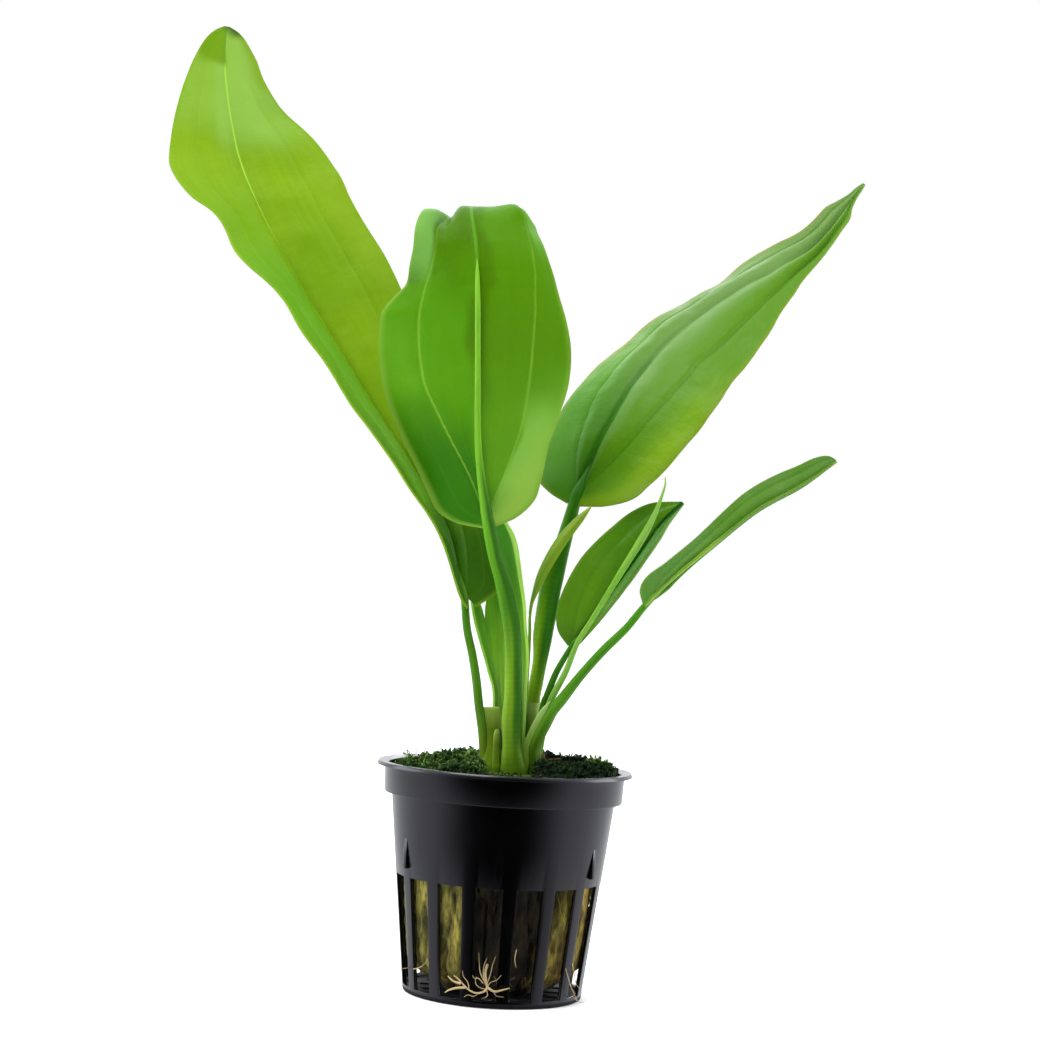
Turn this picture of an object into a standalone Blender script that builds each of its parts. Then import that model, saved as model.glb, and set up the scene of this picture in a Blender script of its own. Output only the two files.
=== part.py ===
import bpy
import bmesh
import math
from mathutils import Matrix, Vector

# Net pot, in metres
POT_BASE_RADIUS = 0.01915
POT_BODY_TOP_RADIUS = 0.0240
POT_BODY_HEIGHT = 0.0420
POT_COLLAR_LOW_RADIUS = 0.0255
POT_COLLAR_TOP_RADIUS = 0.0258
POT_LIP_RADIUS = 0.0275
POT_LIP_LOW = 0.0477
POT_HEIGHT = 0.0485
POT_WALL = 0.0009
POT_FLOOR = 0.0012
POT_BASE_EDGE = 0.0004
POT_STEPS = 64
SLOT_COUNT = 16
SLOT_FIRST_ANGLE = 18.05
SLOT_HALF_ANGLE = 7.45
SLOT_LOW = 0.0015
SLOT_TOP = 0.0249
FLOOR_OPENING_INNER = 0.0080
FLOOR_OPENING_OUTER = 0.0155
FLOOR_OPENING_WIDTH = 0.0024
WEDGE_COUNT = 6
WEDGE_WIDTH = 0.0014
WEDGE_LOW = 0.0268
WEDGE_TOP = 0.0331
WEDGE_REACH = 0.0008

# Gap kept between pieces that touch
GAP = 0.0003

# Rock wool plug, as radius and height up its side
WOOL_SIDE = ((0.0128, 0.0048), (0.0168, 0.0062), (0.0180, 0.0120), (0.0189, 0.0200),
             (0.0207, 0.0300), (0.0220, 0.0395), (0.0210, 0.0412))
WOOL_STEPS = 32

# Moss bed round the stalks, as radius and height up its side
MOSS_SIDE = ((0.0222, 0.0418), (0.0224, 0.0433), (0.0240, 0.0434), (0.0243, 0.0476),
             (0.0225, 0.0496), (0.0180, 0.0505), (0.0130, 0.0509))
MOSS_HOLE_RADIUS = 0.0090
MOSS_STEPS = 32

# Short rootstock that carries the stalks
CROWN_CENTRE = (0.0016, -0.0004)
CROWN_SIDE = ((0.0040, 0.0416), (0.0068, 0.0430), (0.0078, 0.0458), (0.0074, 0.0473))
CROWN_STEPS = 24

# Leaf blades
BLADE_HALF_THICKNESS = 0.0003
EDGE_HALF_THICKNESS = 0.00015
RIB_HALF_WIDTH = 0.0009
RIB_DEPTH = 0.0011
STALK_STATIONS = 9
MM = 0.001

for old in list(bpy.data.objects):
    bpy.data.objects.remove(old, do_unlink=True)

plant = bpy.data.collections.new("potted_echinodorus")
bpy.context.scene.collection.children.link(plant)
cutters = bpy.data.collections.new("cutters")
bpy.context.scene.collection.children.link(cutters)


def material(name, colour, roughness):
    mat = bpy.data.materials.new(name)
    mat.use_nodes = True
    shader = mat.node_tree.nodes["Principled BSDF"]
    shader.inputs["Base Color"].default_value = (*colour, 1.0)
    shader.inputs["Roughness"].default_value = roughness
    shader.inputs["Metallic"].default_value = 0.0
    return mat


def new_object(name, bm, group, mat=None):
    mesh = bpy.data.meshes.new(name)
    bm.to_mesh(mesh)
    bm.free()
    obj = bpy.data.objects.new(name, mesh)
    group.objects.link(obj)
    if mat:
        mesh.materials.append(mat)
    return obj


def smooth(obj, degrees):
    obj.data.shade_smooth()
    obj.data.set_sharp_from_angle(angle=math.radians(degrees))


def lathe(name, points, steps, mat):
    """Turn a profile that runs down its outer side, from the axis back to the axis."""
    bm = bmesh.new()
    verts = [bm.verts.new((x, 0.0, z)) for x, z in points]
    for a, b in zip(verts, verts[1:]):
        bm.edges.new((a, b))
    obj = new_object(name, bm, plant, mat)
    screw = obj.modifiers.new("turn", "SCREW")
    screw.axis = "Z"
    screw.angle = math.tau
    screw.steps = steps
    screw.render_steps = steps
    screw.use_merge_vertices = True
    screw.merge_threshold = 0.00001
    screw.use_normal_calculate = True
    return obj


def add_boolean(obj, cutter, operation):
    cut = obj.modifiers.new(cutter.name, "BOOLEAN")
    cut.operation = operation
    cut.solver = "EXACT"
    cut.object = cutter
    cutter.hide_render = True
    cutter.display_type = "WIRE"


def block(bm, corners_low, corners_high):
    """One block between a lower and an upper set of four corners."""
    cube = bmesh.ops.create_cube(bm, size=1.0)["verts"]
    for vert in cube:
        row = corners_high if vert.co.z > 0.0 else corners_low
        column = (1 if vert.co.x > 0.0 else 0) + (2 if vert.co.y > 0.0 else 0)
        vert.co = Vector(row[column])


# Pot: one moulding, turned, with slots in the wall and openings in the floor
inner_foot = POT_BASE_RADIUS + (POT_BODY_TOP_RADIUS - POT_BASE_RADIUS) * POT_FLOOR / POT_BODY_HEIGHT
shelf = POT_BODY_HEIGHT + POT_WALL
pot_profile = (
    (0.0, POT_FLOOR),
    (inner_foot - POT_WALL, POT_FLOOR),
    (POT_BODY_TOP_RADIUS - POT_WALL, shelf),
    (POT_COLLAR_LOW_RADIUS - POT_WALL, shelf),
    (POT_COLLAR_TOP_RADIUS - POT_WALL, POT_HEIGHT - POT_BASE_EDGE),
    (POT_COLLAR_TOP_RADIUS - POT_WALL + POT_BASE_EDGE, POT_HEIGHT),
    (POT_LIP_RADIUS, POT_HEIGHT),
    (POT_LIP_RADIUS, POT_LIP_LOW),
    (POT_COLLAR_TOP_RADIUS, POT_LIP_LOW),
    (POT_COLLAR_LOW_RADIUS, POT_BODY_HEIGHT),
    (POT_BODY_TOP_RADIUS, POT_BODY_HEIGHT),
    (POT_BASE_RADIUS, POT_BASE_EDGE),
    (POT_BASE_RADIUS - POT_BASE_EDGE, 0.0),
    (0.0, 0.0),
)
pot = lathe("pot", pot_profile, POT_STEPS, material("black_plastic", (0.012, 0.012, 0.014), 0.32))

bm = bmesh.new()
for i in range(SLOT_COUNT):
    middle = SLOT_FIRST_ANGLE + i * 360.0 / SLOT_COUNT
    sides = [math.radians(middle + s * SLOT_HALF_ANGLE) for s in (-1.0, 1.0)]
    low = [(r * math.sin(a), -r * math.cos(a), SLOT_LOW) for r in (0.0260, 0.0165) for a in sides]
    high = [(x, y, SLOT_TOP) for x, y, z in low]
    block(bm, low, high)
add_boolean(pot, new_object("slot_cutter", bm, cutters), "DIFFERENCE")

bm = bmesh.new()
for i in range(SLOT_COUNT):
    turn = Matrix.Rotation(math.radians(SLOT_FIRST_ANGLE + i * 360.0 / SLOT_COUNT), 4, "Z")
    middle = (FLOOR_OPENING_INNER + FLOOR_OPENING_OUTER) / 2
    size = Matrix.Diagonal((FLOOR_OPENING_WIDTH, FLOOR_OPENING_OUTER - FLOOR_OPENING_INNER, 0.0040, 1.0))
    bmesh.ops.create_cube(bm, size=1.0, matrix=turn @ Matrix.Translation((0.0, -middle, 0.0)) @ size)
add_boolean(pot, new_object("floor_cutter", bm, cutters), "DIFFERENCE")

bm = bmesh.new()
for i in range(WEDGE_COUNT):
    turn = Matrix.Rotation(math.radians(i * 360.0 / WEDGE_COUNT), 4, "Z")
    half = WEDGE_WIDTH / 2
    slope = (POT_BODY_TOP_RADIUS - POT_BASE_RADIUS) / POT_BODY_HEIGHT
    low_radius = POT_BASE_RADIUS + slope * WEDGE_LOW
    top_radius = POT_BASE_RADIUS + slope * WEDGE_TOP
    low = [turn @ Vector((x, y, WEDGE_LOW)) for y in (-low_radius - WEDGE_REACH, -low_radius + 0.0004)
           for x in (-half, half)]
    high = [turn @ Vector((x, y, WEDGE_TOP)) for y in (-top_radius - 0.0001, -top_radius + 0.0004)
            for x in (-half, half)]
    block(bm, low, high)
add_boolean(pot, new_object("wedge_union", bm, cutters), "UNION")
smooth(pot, 30.0)

# Rock wool plug wedged in the pot
wool_profile = [(0.0, WOOL_SIDE[0][1]), *WOOL_SIDE, (0.0, WOOL_SIDE[-1][1])]
wool = lathe("rock_wool", wool_profile[::-1], WOOL_STEPS, material("rock_wool", (0.15, 0.13, 0.035), 0.95))
smooth(wool, 40.0)

# Moss bed on the plug
moss_profile = [(0.0, MOSS_SIDE[0][1]), *MOSS_SIDE, (0.0, MOSS_SIDE[-1][1])]
moss = lathe("moss", moss_profile[::-1], MOSS_STEPS, material("moss", (0.018, 0.055, 0.010), 0.9))
bm = bmesh.new()
bmesh.ops.create_cone(bm, cap_ends=True, segments=CROWN_STEPS, radius1=MOSS_HOLE_RADIUS,
                      radius2=MOSS_HOLE_RADIUS, depth=0.03,
                      matrix=Matrix.Translation((*CROWN_CENTRE, 0.046)))
add_boolean(moss, new_object("moss_cutter", bm, cutters), "DIFFERENCE")
smooth(moss, 60.0)

# Rootstock under the stalks
bm = bmesh.new()
rings = []
for radius, height in CROWN_SIDE:
    ring = bmesh.ops.create_circle(bm, segments=CROWN_STEPS, radius=radius)["verts"]
    bmesh.ops.translate(bm, verts=ring, vec=(CROWN_CENTRE[0], CROWN_CENTRE[1], height))
    rings.append(ring)
for low, high in zip(rings, rings[1:]):
    edges = {e for v in low + high for e in v.link_edges if len(e.link_faces) < 2}
    bmesh.ops.bridge_loops(bm, edges=list(edges))
bmesh.ops.holes_fill(bm, edges=[e for e in bm.edges if len(e.link_faces) < 2], sides=0)
bmesh.ops.recalc_face_normals(bm, faces=bm.faces)
crown = new_object("crown", bm, plant, material("rootstock", (0.16, 0.19, 0.03), 0.6))
smooth(crown, 40.0)


def curve_through(points, count):
    """Points at even steps along a smooth curve through the given points."""
    p = [Vector(q) for q in points]
    p = [2 * p[0] - p[1]] + p + [2 * p[-1] - p[-2]]
    fine = []
    for a, b, c, d in zip(p, p[1:], p[2:], p[3:]):
        for k in range(16):
            t = k / 16
            fine.append(0.5 * (2 * b + (c - a) * t + (2 * a - 5 * b + 4 * c - d) * t ** 2
                               + (3 * b - a - 3 * c + d) * t ** 3))
    fine.append(p[-2])
    lengths = [0.0]
    for a, b in zip(fine, fine[1:]):
        lengths.append(lengths[-1] + (b - a).length)
    result = []
    at = 0
    for target in (lengths[-1] * i / (count - 1) for i in range(count)):
        while at < len(fine) - 2 and lengths[at + 1] < target:
            at += 1
        span = lengths[at + 1] - lengths[at]
        result.append(fine[at].lerp(fine[at + 1], (target - lengths[at]) / span))
    return result


def between(table, x):
    """Value of a table of (x, values...) rows at x, in straight lines."""
    if x <= table[0][0]:
        return table[0][1:]
    for low, high in zip(table, table[1:]):
        if x <= high[0]:
            t = (x - low[0]) / (high[0] - low[0])
            return [a + (b - a) * t for a, b in zip(low[1:], high[1:])]
    return table[-1][1:]


def frame_at(path, i, facing):
    along = (path[min(i + 1, len(path) - 1)] - path[max(i - 1, 0)]).normalized()
    across = along.cross(Vector(facing)).normalized()
    return along, across, across.cross(along)


STALK_ANGLES = (165, 130, 90, 50, 15, -15, -45, -72, -90, -108, -135, -165)


def stalk_ring(centre, across, up, half_width, half_depth):
    ring = []
    for degrees in STALK_ANGLES:
        a = math.radians(degrees)
        ring.append(centre + across * half_width * math.cos(a) + up * half_depth * math.sin(a))
    return ring


def blade_ring(centre, along, across, up, left, right, fold_left, fold_right, sweep, rib):
    """Twelve points round a thin blade: upper side left to right, back along the rib side."""
    rib_width = min(RIB_HALF_WIDTH * (0.4 + 0.6 * rib), 0.3 * left, 0.3 * right)
    rib_depth = RIB_DEPTH * rib * rib_width / RIB_HALF_WIDTH
    spots = [(-1.0, 1), (-0.55, 1), (0.0, 1), (0.55, 1), (1.0, 1), (1.0, -1), (0.55, -1),
             (rib_width / right, -1), (0.0, -1), (-rib_width / left, -1), (-0.55, -1), (-1.0, -1)]
    ring = []
    for share, side in spots:
        fold = math.radians(fold_left if share < 0 else fold_right)
        reach = (left if share < 0 else right) * share
        half = EDGE_HALF_THICKNESS if abs(share) == 1.0 else BLADE_HALF_THICKNESS
        lift = side * half - (rib_depth if share == 0.0 and side < 0 else 0.0)
        tilt = 1 if share > 0 else -1
        out = across * math.cos(fold) + up * tilt * math.sin(fold)
        normal = up * math.cos(fold) - across * tilt * math.sin(fold)
        if share == 0.0:
            normal = up
        ring.append(centre + out * reach + normal * lift - along * sweep * share * share)
    return ring


def loft(name, rings, mat):
    bm = bmesh.new()
    rows = [[bm.verts.new(p) for p in ring] for ring in rings]
    count = len(rows[0])
    for low, high in zip(rows, rows[1:]):
        for i in range(count):
            j = (i + 1) % count
            bm.faces.new((low[i], low[j], high[j], high[i]))
    bm.faces.new(rows[0])
    bm.faces.new(rows[-1])
    bmesh.ops.recalc_face_normals(bm, faces=bm.faces)
    obj = new_object(name, bm, plant, mat)
    smooth(obj, 50.0)
    return obj


def leaf(name, stalk, widths, blade, outline, facing, mat):
    """One leaf: a stalk, and a blade on its end where outline gives one."""
    path = curve_through([Vector(p) * MM for p in stalk], 41)
    rings = []
    for k in range(STALK_STATIONS):
        i = round(k * 40 / (STALK_STATIONS - 1))
        share = i / 40
        along, across, up = frame_at(path, i, between(facing, share - 1.0))
        half_width, half_depth = between(widths, share)
        rings.append(stalk_ring(path[i], across, up, half_width * MM, half_depth * MM))
    if blade:
        path = curve_through([Vector(p) * MM for p in blade], 101)
        for share, left, right, fold_left, fold_right, sweep in outline:
            i = round(share * 100)
            along, across, up = frame_at(path, i, between(facing, share))
            rings.append(blade_ring(path[i], along, across, up, left * MM, right * MM,
                                    fold_left, fold_right, sweep * MM, 1.0 - share))
    return loft(name, rings, mat)


upper_green = material("leaf_bright", (0.16, 0.38, 0.012), 0.42)
deep_green = material("leaf_deep", (0.10, 0.30, 0.010), 0.42)
young_green = material("leaf_young", (0.22, 0.42, 0.04), 0.45)
straw = material("withered_leaf", (0.42, 0.40, 0.12), 0.7)
old_green = material("old_sheath", (0.20, 0.24, 0.03), 0.6)
root_cream = material("root", (0.55, 0.45, 0.24), 0.7)

# Tall leaf to the left, its upper side to the front
leaf("leaf_tall_left",
     ((-4.5, -1.0, 48.0), (-6.0, -1.0, 60.0), (-7.0, -0.5, 65.5), (-8.5, 0.0, 72.0),
      (-10.3, 0.5, 77.5), (-11.0, 1.0, 82.5)),
     ((0.0, 1.7, 1.5), (0.4, 1.0, 1.0), (1.0, 0.9, 0.9)),
     ((-11.0, 1.0, 84.0), (-16.5, 3.0, 99.5), (-28.5, 6.0, 117.5), (-43.5, 10.0, 139.0),
      (-59.5, 14.0, 163.0), (-68.0, 18.0, 179.5), (-72.5, 20.0, 198.0), (-73.0, 21.0, 209.5)),
     ((0.02, 2.5, 6.0, 45, 5, 2.0), (0.06, 4.0, 9.0, 45, 5, 1.5), (0.13, 8.5, 11.0, 45, 5, 1.0),
      (0.22, 12.0, 13.5, 45, 5, 0.0), (0.35, 12.5, 17.0, 42, 5, 0.0), (0.48, 14.0, 19.5, 40, 5, 0.0),
      (0.58, 14.0, 20.5, 32, 5, 0.0), (0.68, 12.5, 20.5, 22, 5, 0.0), (0.76, 14.5, 19.5, 10, 5, 0.0),
      (0.82, 15.0, 17.0, 5, 5, 0.0), (0.88, 10.5, 10.0, 5, 5, 0.0), (0.94, 5.5, 7.0, 5, 5, 0.0),
      (0.98, 2.8, 3.5, 5, 5, 0.0), (1.0, 0.4, 0.4, 5, 5, 0.0)),
     ((-1.0, 0.45, -0.85, 0.1), (0.0, 0.45, -0.85, 0.3), (1.0, 0.3, -0.9, 0.2)), upper_green)

# Front leaf, its ribbed under side to the front and its tip bent over to the back
leaf("leaf_front",
     ((1.5, -4.5, 48.0), (0.5, -5.0, 58.5), (0.0, -5.0, 70.0), (-3.0, -6.5, 86.5),
      (-5.0, -8.0, 93.5), (-7.0, -10.0, 100.5)),
     ((0.0, 2.4, 1.5), (0.4, 2.0, 1.4), (0.7, 1.5, 1.2), (1.0, 1.0, 1.0)),
     ((-7.0, -10.0, 101.5), (-9.5, -13.0, 115.5), (-10.5, -15.5, 130.0), (-11.5, -17.5, 146.5),
      (-12.5, -16.5, 157.0), (-14.0, -12.5, 164.5), (-14.5, -6.0, 167.6), (-15.0, 0.5, 165.0),
      (-15.5, 5.0, 158.5)),
     ((0.02, 8.0, 9.0, 15, 15, 2.5), (0.06, 11.5, 13.0, 15, 15, 2.0), (0.12, 14.5, 16.5, 17, 18, 0.5),
      (0.22, 17.5, 21.5, 19, 22, 0.0), (0.32, 19.5, 24.0, 20, 25, 0.0), (0.43, 19.5, 24.0, 20, 25, 0.0),
      (0.54, 17.5, 21.5, 18, 22, 0.0), (0.63, 15.0, 17.0, 15, 18, 0.0), (0.71, 13.5, 14.0, 12, 12, 0.0),
      (0.77, 13.0, 11.0, 10, 10, 0.0), (0.83, 10.0, 9.0, 10, 10, 0.0), (0.91, 6.0, 5.5, 10, 10, 0.0),
      (1.0, 0.5, 0.5, 10, 10, 0.0)),
     ((-1.0, 0.1, 1.0, 0.0), (0.0, 0.1, 1.0, 0.2), (0.55, 0.1, 1.0, 0.1), (0.73, 0.0, 0.5, -0.9),
      (1.0, 0.0, -0.7, -0.7)), deep_green)

# Broad leaf to the right, its upper side to the front
leaf("leaf_right",
     ((5.5, 3.2, 48.0), (5.2, 3.2, 62.0), (6.0, 3.6, 74.0), (7.0, 4.2, 82.5), (8.5, 4.5, 90.5),
      (11.0, 5.5, 103.0), (11.8, 5.9, 107.0)),
     ((0.0, 1.4, 1.3), (0.25, 1.8, 1.3), (0.55, 2.5, 1.4), (0.75, 2.2, 1.3), (1.0, 1.6, 1.2)),
     ((12.0, 6.0, 108.0), (17.0, 9.0, 121.5), (23.0, 12.0, 133.5), (31.0, 15.0, 144.0),
      (44.0, 19.0, 155.5), (54.0, 22.0, 162.0), (64.0, 25.0, 169.5), (74.0, 28.0, 184.0)),
     ((0.02, 7.0, 8.0, 0, 5, 2.5), (0.06, 12.0, 14.0, -5, 5, 2.0), (0.12, 15.0, 17.5, -10, 5, 1.0),
      (0.20, 17.0, 20.0, -15, 5, 0.0), (0.30, 17.0, 21.0, -20, 5, 0.0), (0.40, 15.0, 19.5, -25, 5, 0.0),
      (0.50, 12.5, 17.0, -25, 5, 0.0), (0.60, 11.5, 13.5, -25, 5, 0.0), (0.70, 11.0, 8.0, -25, 5, 0.0),
      (0.80, 7.5, 3.5, -15, 5, 0.0), (0.88, 5.0, 2.3, -5, 5, 0.0), (0.94, 2.2, 1.3, 0, 5, 0.0),
      (1.0, 0.4, 0.4, 5, 5, 0.0)),
     ((-1.0, -0.3, -0.9, 0.1), (0.0, -0.35, -0.75, 0.5), (1.0, -0.3, -0.85, 0.35)), upper_green)

# Short folded leaf to the right
leaf("leaf_short_right",
     ((5.2, 0.4, 48.0), (7.0, 0.5, 62.5), (8.5, 0.6, 67.5), (11.3, 0.8, 73.0)),
     ((0.0, 1.0, 0.9), (1.0, 0.7, 0.7)),
     ((13.0, 1.0, 75.5), (17.5, 1.0, 82.0), (25.5, 1.5, 94.5), (30.5, 2.0, 102.5), (35.0, 2.0, 107.5)),
     ((0.02, 3.0, 1.5, 15, 45, 1.0), (0.07, 6.0, 2.5, 15, 45, 1.0), (0.16, 8.5, 3.0, 15, 45, 0.5),
      (0.30, 9.5, 3.5, 15, 45, 0.0), (0.45, 9.8, 4.0, 15, 45, 0.0), (0.60, 8.8, 3.5, 15, 45, 0.0),
      (0.74, 7.5, 2.8, 13, 35, 0.0), (0.86, 5.0, 1.8, 11, 25, 0.0), (1.0, 0.4, 0.4, 10, 10, 0.0)),
     ((-1.0, -0.2, -0.95, 0.1), (0.0, -0.2, -0.9, 0.2), (1.0, -0.2, -0.9, 0.2)), deep_green)

# Young rolled leaf in front of it
leaf("leaf_spear",
     ((8.2, 0.5, 48.0), (9.7, -0.7, 63.0), (12.5, -2.0, 72.0), (14.5, -3.2, 78.0), (22.5, -3.4, 92.0),
      (28.0, -3.0, 102.5), (30.5, -2.5, 110.0), (30.6, -2.3, 112.5)),
     ((0.0, 0.9, 0.8), (0.3, 0.7, 0.6), (0.5, 0.55, 0.5), (0.8, 0.8, 0.5), (0.92, 0.4, 0.3),
      (1.0, 0.15, 0.15)),
     None, None, ((-1.0, -0.2, -0.95, 0.1), (0.0, -0.2, -0.9, 0.2)), young_green)

# Narrow leaf far to the right, seen nearly on edge
leaf("leaf_far_right",
     ((6.7, -2.6, 48.0), (7.0, -3.2, 56.0), (9.2, -3.8, 63.0), (14.5, -4.8, 72.5), (21.5, -6.0, 79.0),
      (27.0, -7.3, 84.0)),
     ((0.0, 1.2, 1.0), (0.4, 1.3, 1.0), (1.0, 0.8, 0.8)),
     ((29.0, -8.0, 86.5), (34.5, -10.0, 92.5), (42.0, -12.0, 99.5), (50.0, -14.0, 106.5),
      (58.5, -16.0, 112.0), (66.0, -17.5, 118.0)),
     ((0.02, 3.5, 3.0, 45, 15, 2.0), (0.07, 5.5, 4.5, 45, 15, 1.5), (0.16, 5.0, 5.0, 45, 15, 0.0),
      (0.30, 5.0, 5.5, 45, 15, 0.0), (0.45, 5.3, 5.5, 45, 15, 0.0), (0.60, 5.8, 5.5, 45, 15, 0.0),
      (0.75, 5.5, 5.0, 45, 15, 0.0), (0.88, 4.0, 3.5, 45, 15, 0.0), (0.96, 2.0, 2.0, 40, 15, 0.0),
      (1.0, 0.5, 0.5, 40, 15, 0.0)),
     ((-1.0, -0.9, 0.2, 0.3), (-0.4, -0.8, 0.0, 0.5), (0.0, -0.4, -0.2, 0.85), (1.0, -0.4, -0.2, 0.85)),
     deep_green)

# Young leaves between the stalks
leaf("leaf_young_right",
     ((2.6, -0.8, 48.0), (2.6, -0.4, 65.0), (2.3, 0.3, 76.0), (1.9, 0.6, 81.0), (1.3, 0.8, 87.0),
      (0.0, 0.8, 94.0), (-3.0, 0.4, 100.5), (-5.8, 0.0, 104.0)),
     ((0.0, 0.9, 0.7), (0.4, 0.8, 0.6), (0.6, 1.0, 0.5), (0.8, 1.9, 0.4), (0.93, 1.4, 0.3), (1.0, 0.4, 0.2)),
     None, None, ((-1.0, -0.3, -0.95, 0.1), (0.0, -0.5, -0.8, 0.2)), young_green)
leaf("leaf_young_left",
     ((-3.2, 2.6, 48.0), (-3.0, 3.0, 62.5), (-5.5, 4.2, 71.5), (-8.0, 5.2, 79.5), (-9.5, 6.0, 86.0),
      (-10.0, 6.8, 93.0)),
     ((0.0, 1.0, 0.8), (0.5, 0.8, 0.6), (0.75, 1.2, 0.4), (0.92, 1.0, 0.3), (1.0, 0.3, 0.2)),
     None, None, ((-1.0, 0.4, -0.9, 0.1), (0.0, 0.4, -0.9, 0.2)), young_green)
leaf("leaf_young_back",
     ((0.2, 3.8, 48.0), (-0.8, 4.2, 58.0), (-2.0, 5.0, 69.0), (-2.5, 5.8, 77.5), (-3.3, 6.3, 84.0),
      (-4.5, 6.6, 91.5)),
     ((0.0, 1.2, 0.8), (0.4, 1.2, 0.4), (0.65, 3.0, 0.35), (0.85, 2.6, 0.3), (1.0, 0.4, 0.2)),
     None, None, ((-1.0, 0.1, -1.0, 0.0), (0.0, 0.1, -1.0, 0.1)), young_green)

# Withered leaf drawn along the broad leaf's stalk
leaf("leaf_withered",
     ((3.0, 1.7, 48.0), (3.6, 1.4, 62.0), (4.0, 1.3, 76.0), (4.2, 1.4, 83.5), (5.2, 1.5, 88.5),
      (7.3, 1.9, 95.5), (9.4, 1.7, 100.0), (12.0, 1.3, 103.5), (15.0, 0.8, 106.5)),
     ((0.0, 0.6, 0.5), (0.5, 0.6, 0.35), (0.6, 0.9, 0.35), (0.85, 0.8, 0.35), (1.0, 0.3, 0.25)),
     None, None, ((-1.0, -0.3, -0.95, 0.1), (0.0, -0.4, -0.9, 0.2)), straw)

# Old sheaths left at the foot of the stalks
leaf("sheath_stub",
     ((-1.8, -1.7, 48.0), (-2.0, -1.7, 55.0), (-2.3, -1.6, 61.0)),
     ((0.0, 0.9, 0.8), (0.6, 1.2, 0.7), (1.0, 1.6, 0.6)),
     None, None, ((-1.0, 0.2, -1.0, 0.0), (0.0, 0.2, -1.0, 0.0)), old_green)
leaf("sheath_small",
     ((-1.9, -3.9, 48.0), (-2.1, -3.9, 52.0), (-2.2, -3.8, 56.5)),
     ((0.0, 0.6, 0.4), (0.6, 0.7, 0.4), (1.0, 0.5, 0.3)),
     None, None, ((-1.0, 0.1, -1.0, 0.0), (0.0, 0.1, -1.0, 0.0)), old_green)


def root(name, points, radius):
    data = bpy.data.curves.new(name + "_path", "CURVE")
    data.dimensions = "3D"
    data.resolution_u = 3
    data.bevel_depth = radius * MM
    data.bevel_resolution = 1
    data.use_fill_caps = True
    spline = data.splines.new("BEZIER")
    spline.bezier_points.add(len(points) - 1)
    for spot, p in zip(spline.bezier_points, points):
        spot.co = Vector(p) * MM
        spot.handle_left_type = "AUTO"
        spot.handle_right_type = "AUTO"
    path = bpy.data.objects.new(name + "_path", data)
    plant.objects.link(path)
    solid = path.evaluated_get(bpy.context.evaluated_depsgraph_get())
    mesh = bpy.data.meshes.new_from_object(solid)
    bpy.data.objects.remove(path, do_unlink=True)
    bm = bmesh.new()
    bm.from_mesh(mesh)
    bmesh.ops.remove_doubles(bm, verts=bm.verts, dist=0.00001)
    bmesh.ops.recalc_face_normals(bm, faces=bm.faces)
    bpy.data.meshes.remove(mesh)
    obj = new_object(name, bm, plant, root_cream)
    smooth(obj, 60.0)
    return obj


# Roots that come out of a front slot and lie against the pot
root("root_front", ((-2.2, -17.9, 8.5), (-2.4, -19.4, 7.0), (-1.6, -20.8, 4.6), (-3.2, -20.9, 3.2),
                    (-5.2, -20.6, 3.6), (-7.2, -20.0, 5.2), (-8.8, -19.3, 3.4)), 0.35)
root("root_side", ((-0.6, -18.1, 9.5), (-0.4, -19.5, 8.0), (0.2, -20.9, 5.6), (2.0, -20.9, 4.2),
                   (3.8, -20.7, 4.4)), 0.3)
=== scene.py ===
import math
import random

import bmesh
import bpy
import numpy as np
from mathutils import Matrix, Vector, noise


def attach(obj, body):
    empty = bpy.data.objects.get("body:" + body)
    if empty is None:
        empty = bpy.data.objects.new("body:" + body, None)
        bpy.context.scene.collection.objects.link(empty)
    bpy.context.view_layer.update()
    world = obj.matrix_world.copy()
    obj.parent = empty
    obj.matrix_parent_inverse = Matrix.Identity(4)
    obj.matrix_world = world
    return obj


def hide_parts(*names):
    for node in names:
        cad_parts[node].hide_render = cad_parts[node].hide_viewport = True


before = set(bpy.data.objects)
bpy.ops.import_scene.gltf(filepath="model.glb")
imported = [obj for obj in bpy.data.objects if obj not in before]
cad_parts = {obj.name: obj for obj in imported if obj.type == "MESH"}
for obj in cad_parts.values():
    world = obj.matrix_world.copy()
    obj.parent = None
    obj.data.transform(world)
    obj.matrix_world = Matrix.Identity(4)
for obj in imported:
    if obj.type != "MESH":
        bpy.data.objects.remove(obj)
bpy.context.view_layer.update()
MM = 0.001


# Camera
# A long lens half a metre off, a little above the pot's lip, turned 3.5 degrees against the
# clock as the photograph was, so the upright pot leans to the right in the picture.

lens = bpy.data.cameras.new("camera")
lens.sensor_width = 36.0
lens.lens = 78.34
lens.clip_start = 0.01
camera = bpy.data.objects.new("camera", lens)
bpy.context.scene.collection.objects.link(camera)
camera.matrix_world = (Matrix.Translation((0.0, -0.488, 0.088))
                       @ Matrix.Rotation(math.pi / 2 + 0.0277, 4, "X")
                       @ Matrix.Rotation(0.0604, 4, "Z"))
bpy.context.scene.camera = camera
bpy.context.scene.view_settings.view_transform = "Standard"


# Floor
# A pale matt table top that runs out of sight, a hair below the pot so that the two never share a
# plane. It carries the pot's soft shadow.

def linear(hex_colour):
    """sRGB hex to linear red, green, blue and alpha."""
    parts = [int(hex_colour[i:i + 2], 16) / 255 for i in (1, 3, 5)]
    return (*[c / 12.92 if c <= 0.04045 else ((c + 0.055) / 1.055) ** 2.4 for c in parts], 1.0)


MODE_OF = {"Math": "operation", "Mix": "blend_type", "MapRange": "interpolation_type"}


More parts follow.
